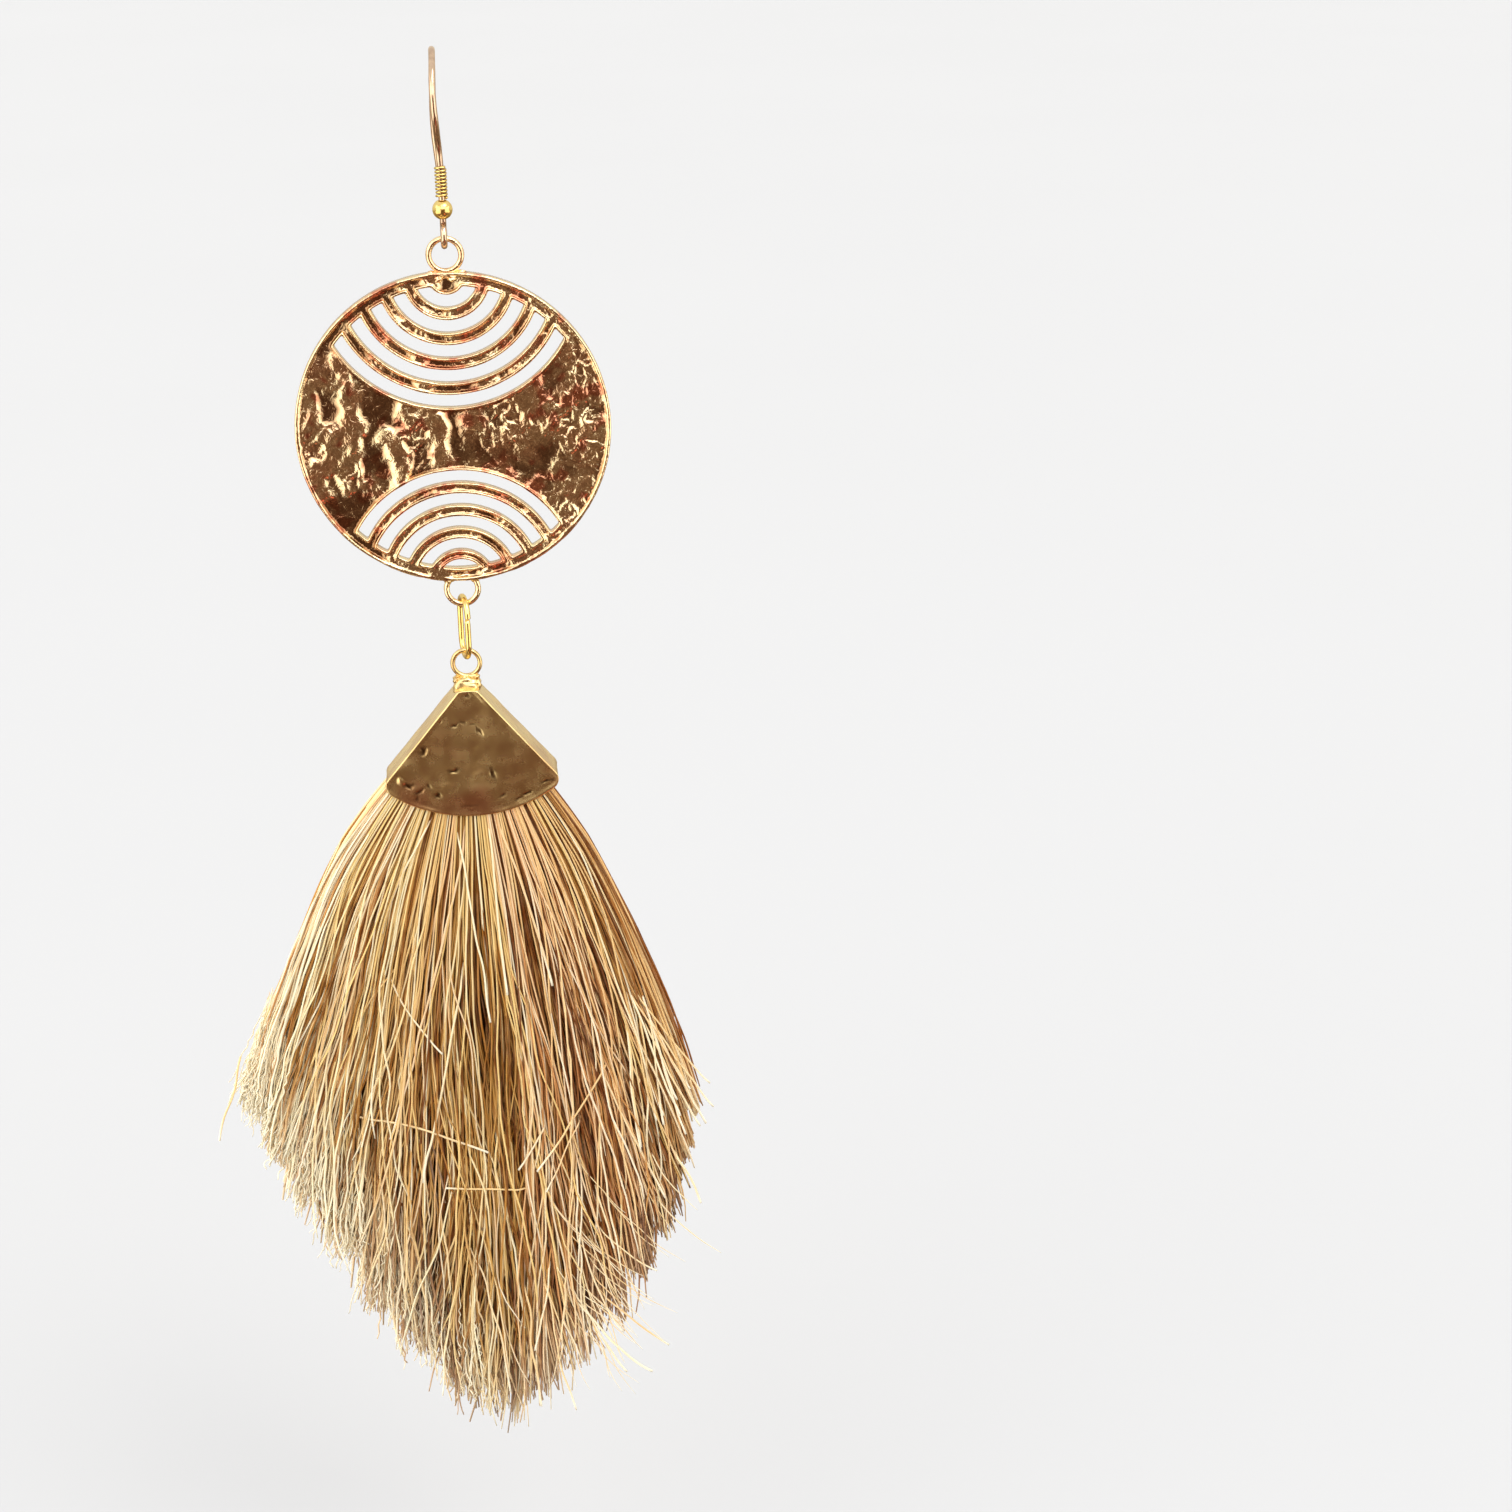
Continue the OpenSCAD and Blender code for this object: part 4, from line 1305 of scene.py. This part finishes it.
def fringe():
    """The fringe's threads: a core darkened as painted shade, two faces of lighter threads, drawn threads over
    them, and loose ends.
    """
    rng = np.random.default_rng(2024)
    count = CORE_THREADS
    places_across = rng.uniform(-0.99, 0.99, count)
    paths, looks = strands(rng, places_across, rng.uniform(-0.78, 0.78, count), 16)
    # Painted shade: the core's dark tone stands for the shade deep inside the fringe, seen between the outer
    # threads; less of it at the two sides
    looks["tone"] = 0.12 + 0.6 * looks["tone"] + rng.normal(0, 0.05, (count, 1))
    looks["tone"] += 0.5 * unit((np.abs(places_across) - 0.8) / 0.15)[:, None]
    looks["pale"] = looks["pale"] * 0.6
    thread_piece("fringe_core", paths, rng.uniform(0.15, 0.19, count), looks)

    for name, low, high, count, places, fine in OUTER_THREADS:
        layer, out = faced(rng, count, 0.72, 0.99)
        paths, looks = strands(rng, rng.uniform(low, high, count), layer, places, fine)
        # Painted shade: a share of the outer threads is darker, and the others grow lighter the further out they
        # lie, so the gaps between them read as shade
        shaded = rng.uniform(0, 1, count) < SHADED_SHARE
        own = np.where(shaded, 0.14, 0.34 + 0.28 * out) + rng.normal(0, 0.09, count)
        looks["tone"] = looks["tone"] * np.where(shaded, 0.6, 1)[:, None] + own[:, None]
        looks["pale"] = looks["pale"] * np.where(shaded, 0.6, 1)[:, None]
        thread_piece(name, paths, rng.uniform(0.10, 0.14, count), looks)

    count = DRAWN_THREADS
    layer, out = faced(rng, count, 0.99, 1.05, 0.65)
    paths, looks = strands(rng, rng.uniform(-0.97, 0.97, count), layer, 36, roam=0.2)
    paths[:, :, 1] += 0.2 * np.sign(layer)[:, None]
    looks["tone"] = 0.84 + 0.25 * looks["tone"] + rng.normal(0, 0.09, (count, 1))
    thread_piece("fringe_drawn", paths, rng.uniform(0.10, 0.14, count), looks)
    fluff(rng)
    strays(rng)


def fluff(rng):
    """Short crinkled ends, nearly white, along the fringe's left outline."""
    count, places = FLUFF_THREADS, 26
    place = -(0.99 - 0.95 * rng.uniform(0, 1, count) ** 1.4)
    layer, _ = faced(rng, count, 0.55, 1.0, 0.6)
    tip = fall_at(place) * np.clip(rng.normal(0.93, 0.03, count), 0.84, 1.0)
    reach = rng.uniform(5, 13, count)
    share = np.linspace(0, 1, places)[None, :]
    along = tip[:, None] - reach[:, None] * (1 - share)
    across = place[:, None] + rng.normal(-0.01, 0.03, count)[:, None] * share
    paths = fan_paths(across, layer[:, None] + 0 * along, along)
    amount = (0.25 + 0.75 * share) * rng.uniform(0.12, 0.34, (count, 1))
    paths[:, :, :2] += crinkle(rng, along, amount, (1.4, 2.8))
    looks = {
        "tone": unit(0.88 + rng.normal(0, 0.1, count)),
        "cast": rng.uniform(0, 0.5, count),
        "pale": unit(0.55 + 0.5 * share) * rng.uniform(0.7, 1.0, (count, 1)),
        "thick": np.interp(share, [0, 0.3, 0.9, 1], [0.5, 1, 1, 0.6]) * np.ones((count, 1)),
    }
    thread_piece("fringe_fluff", paths, rng.uniform(0.06, 0.10, count), looks)


# Threads that lie across the front or stick out: where each starts, across and up, its heading in degrees from
# straight down towards the right, how far that turns on the way, and its length
STRAYS = [
    (-15, -110, 82, -22, 15),
    (4, -120, -96, 0, 9),
    (-4, -76, -34, 16, 14),
    (-0.5, -76, -12, -8, 37),
    (-2, -77, 8, -3, 22),
    (2, -76, 20, -10, 20),
    (1.5, -76, 2, 2, 20),
    (-9, -93, -45, 40, 15),
    (-10, -94, 24, 12, 10),
    (-1.5, -92, -14, 2, 26),
    (12, -105, 18, 6, 18),
    (12, -110, -3, -2, 15),
    (11, -120, 11, 8, 8),
    (10, -111, -20, -10, 10),
    (14, -104, -32, -4, 16),
    (6, -112, -28, -6, 6),
    (9, -116, 0, 2, 25),
    (9, -124, 6, 22, 15),
    (8, -132, 20, 14, 13),
    (11, -125, 36, 20, 9),
    (11, -133, 38, 12, 11),
    (8, -133, 26, 24, 14),
    (5, -130, 5, 8, 18),
    (6, -129, -13, 4, 11),
    (3, -131, 2, 4, 16),
    (-3, -126, 18, -14, 19),
    (-26, -103, -20, 4, 10),
    (20, -117, 26, -6, 7),
]


def face_y(x, z):
    """Depth of the fringe's front face at a place."""
    below = np.maximum(FAN_APEX_Z - 0.85 * MOUTH_R - z, 0)
    wide = 9 + 0.45 * np.minimum(below, 40)
    place = np.clip(x / wide, -1, 1)
    return -half_thickness(place, np.full(np.shape(x), MOUTH_R), MOUTH_R, below)


def strays(rng):
    """Single threads over the front, a spray of bright ones at the right and thin wisps at the lower right."""
    rows = [(*row, rng.uniform(0.10, 0.13), 1.1) for row in STRAYS]
    for _ in range(SPRAY_THREADS):
        start = [rng.uniform(14.8, 17.6), rng.uniform(-101, -96)]
        way = [rng.uniform(2, 32), rng.uniform(-4, 6), rng.uniform(12, 17), rng.uniform(0.10, 0.13)]
        rows.append([*start, *way, 1.1])
    for _ in range(WISPS):
        up = rng.uniform(-137, -116)
        across = rng.uniform(6, 20 + 0.42 * (up + 116))
        way = [rng.uniform(8, 42), rng.uniform(0, 20), rng.uniform(6, 12), rng.uniform(0.05, 0.08)]
        rows.append([across, up, *way, 0.4])
    across, up, heading, turn, length, radius, end = np.array(rows).T[:, :, None]
    places = 30
    share = np.linspace(0, 1, places)[None, :]
    lean = np.radians(heading + turn * share)
    step = length / (places - 1)
    x = across + np.cumsum(np.sin(lean) * step, axis=1)
    z = up - np.cumsum(np.cos(lean) * step, axis=1)
    x = x + 0.25 * drift(length * share, across + up, 4.0, 96)
    z = z + 0.10 * drift(length * share, across - up, 3.4, 97)
    sunk = np.interp(share, [0, 0.12, 1], [0.7, 0.0, 0.0])
    paths = np.stack([x, face_y(x, z) - 0.3 + sunk, z], axis=2)
    looks = {
        "tone": unit(0.86 + rng.normal(0, 0.07, len(rows))),
        "cast": rng.uniform(0.1, 0.9, len(rows)),
        "pale": np.clip((share - 0.7) / 0.3, 0.1, 1) * np.ones((len(rows), 1)),
        "thick": 1 + (end - 1) * share**3,
    }
    thread_piece("fringe_strays", paths, radius[:, 0], looks, sides=4)


# Studio

FLOOR_DROP = 25
FLOOR_HALF = 6000
KEY_TOWARDS = (0.45, -0.45, 0.77)
KEY_STRENGTH = 0.7
KEY_SPREAD = 32
KEY_COLOUR = (1.0, 0.98, 0.95)
BACKDROP = (0.888, 0.888, 0.888)


def sun(name, towards, strength, spread, colour):
    """A soft sun. towards points from the earring to the light, and spread is in degrees."""
    data = bpy.data.lights.new(name, "SUN")
    data.energy = strength
    data.angle = math.radians(spread)
    data.color = colour
    light = bpy.data.objects.new(name, data)
    light.rotation_mode = "QUATERNION"
    light.rotation_quaternion = (-Vector(towards)).to_track_quat("-Z", "Y")
    bpy.context.scene.collection.objects.link(light)
    return light


def maths(tree, operation, first, second):
    node = add(tree, "ShaderNodeMath", operation=operation)
    feed(tree, node, {0: first, 1: second})
    return node.outputs[0]


def band(tree, value, low, high, soft):
    """1 where a value lies between two limits, with soft ends."""
    rising = span(tree, value, low - soft, low + soft, 0, 1)
    falling = span(tree, value, high - soft, high + soft, 1, 0)
    return maths(tree, "MULTIPLY", rising, falling)


def panel(tree, across, up, x_limits, z_limits, front, soft):
    """1 in a rectangle in front of the earring, given by the limits of its directions across and up."""
    shape = maths(tree, "MULTIPLY", band(tree, across, *x_limits, soft), band(tree, up, *z_limits, soft))
    return maths(tree, "MULTIPLY", shape, front)


def background(tree, colour):
    return add(tree, "ShaderNodeBackground", Strength=1.0, Color=colour).outputs[0]


def chosen(tree, factor, first, second):
    node = add(tree, "ShaderNodeMixShader")
    feed(tree, node, {0: factor, 1: first, 2: second})
    return node.outputs[0]


# The dark part in front of the earring, its tones, and the tones of the tent from the foot to the top
DARK_LIMITS = ((-0.56, 0.60), (-0.94, 0.22))
DARK_SOFT = 0.04
DARK_TONES = [(0.3, (0.026, 0.010, 0.004)), (0.5, (0.17, 0.094, 0.056)), (0.7, (0.48, 0.31, 0.20))]
TENT_TONES = [
    (0.1, (0.24, 0.16, 0.09)),
    (0.38, (0.48, 0.40, 0.28)),
    (0.5, (0.76, 0.70, 0.58)),
    (1, (0.9, 0.87, 0.80)),
]
# Softboxes in front of the earring: limits of their directions across and up, and their colour
SOFTBOXES = [
    ((-0.95, -0.36), (-0.60, 0.60), (1.5, 1.46, 1.25)),
    ((-0.25, 0.50), (0.20, 0.85), (1.6, 1.55, 1.45)),
    ((0.50, 0.96), (-0.45, 0.45), (1.4, 1.35, 1.2)),
    ((0.22, 0.42), (-0.80, -0.62), (0.9, 0.16, 0.10)),
    ((-0.34, -0.12), (-0.92, -0.80), (0.8, 0.6, 0.4)),
]
SOFTBOX_SOFT = 0.025
# The smoother light on threads and floor, by where it comes from
LEFT_LIGHT = 2.6
RIGHT_LIGHT = 1.1
TOP_LIGHT = 0.5
ALL_ROUND_LIGHT = 0.5
FOOT_LIGHT = 0.6


def room():
    """A light tent: pale behind and above, dim where the viewer stands, with softboxes left, right and on top.

    Mirror-like metal sees the softboxes with firm edges; threads and floor are lit by a smoother version.
    """
    world = bpy.data.worlds.new("studio")
    world.use_nodes = True
    tree = world.node_tree
    tree.nodes.clear()
    direction = add(tree, "ShaderNodeTexCoord").outputs["Generated"]
    x, y, z = add(tree, "ShaderNodeSeparateXYZ", Vector=direction).outputs

    patch = add(tree, "ShaderNodeTexNoise", Vector=direction, Scale=3.6, Detail=3, Roughness=0.55)
    dark = ramp(tree, patch.outputs["Fac"], DARK_TONES)
    tent = ramp(tree, span(tree, z, -1, 1, 0, 1), TENT_TONES)
    front = span(tree, y, -0.1, 0.1, 1, 0)
    mirrored = mixed(tree, panel(tree, x, z, *DARK_LIMITS, front, DARK_SOFT), tent, dark)
    for across, up, light in SOFTBOXES:
        mirrored = mixed(tree, panel(tree, x, z, across, up, front, SOFTBOX_SOFT), mirrored, light, "ADD")

    left = span(tree, maths(tree, "MULTIPLY", x, -1.0), 0.1, 0.9, 0, LEFT_LIGHT)
    sides = maths(tree, "ADD", left, span(tree, x, 0.3, 0.9, 0, RIGHT_LIGHT))
    above = maths(tree, "ADD", sides, span(tree, z, 0.1, 0.9, 0, TOP_LIGHT))
    lit = maths(tree, "ADD", above, ALL_ROUND_LIGHT)
    below = maths(tree, "ADD", maths(tree, "MULTIPLY", sides, 0.5), FOOT_LIGHT)
    soft = mixed(tree, span(tree, z, -0.02, 0.02, 0, 1), below, lit)

    rays = add(tree, "ShaderNodeLightPath").outputs
    unseen = chosen(tree, rays["Is Glossy Ray"], background(tree, soft), background(tree, mirrored))
    seen = chosen(tree, rays["Is Camera Ray"], unseen, background(tree, BACKDROP))
    add(tree, "ShaderNodeOutputWorld", Surface=seen)
    bpy.context.scene.world = world


def studio():
    sun("key", KEY_TOWARDS, KEY_STRENGTH, KEY_SPREAD, KEY_COLOUR)
    corners = [(FLOOR_HALF * x, FLOOR_HALF * y, 0) for x, y in ((-1, -1), (1, -1), (1, 1), (-1, 1))]
    floor = new_object("floor", corners, [[(0, 1, 2, 3)]])
    floor.location.z = cad_low.z - FLOOR_DROP * MM
    floor.data.materials.append(floor_material())
    floor.visible_glossy = False
    floor.visible_diffuse = False
    room()


def camera():
    data = bpy.data.cameras.new("camera")
    data.sensor_width = SENSOR
    data.lens = SENSOR * FOCAL_PIXELS / IMAGE_SIDE
    data.clip_start, data.clip_end = 0.01, 20
    view = bpy.data.objects.new("camera", data)
    level = math.cos(CAMERA_ELEVATION)
    flat = Vector((math.sin(CAMERA_AZIMUTH), -math.cos(CAMERA_AZIMUTH), 0))
    away = level * flat + Vector((0, 0, math.sin(CAMERA_ELEVATION)))
    view.location = (Vector(CAMERA_AIM) + away * CAMERA_DISTANCE) * MM
    view.rotation_mode = "QUATERNION"
    view.rotation_quaternion = (-away).to_track_quat("-Z", "Y") @ Quaternion((0, 0, 1), CAMERA_ROLL)
    bpy.context.scene.collection.objects.link(view)
    bpy.context.scene.camera = view


camera()
studio()
bpy.context.scene.view_settings.view_transform = "Standard"
hook()
coil()
bead()
disc()
jump_ring()
cap()
fringe()
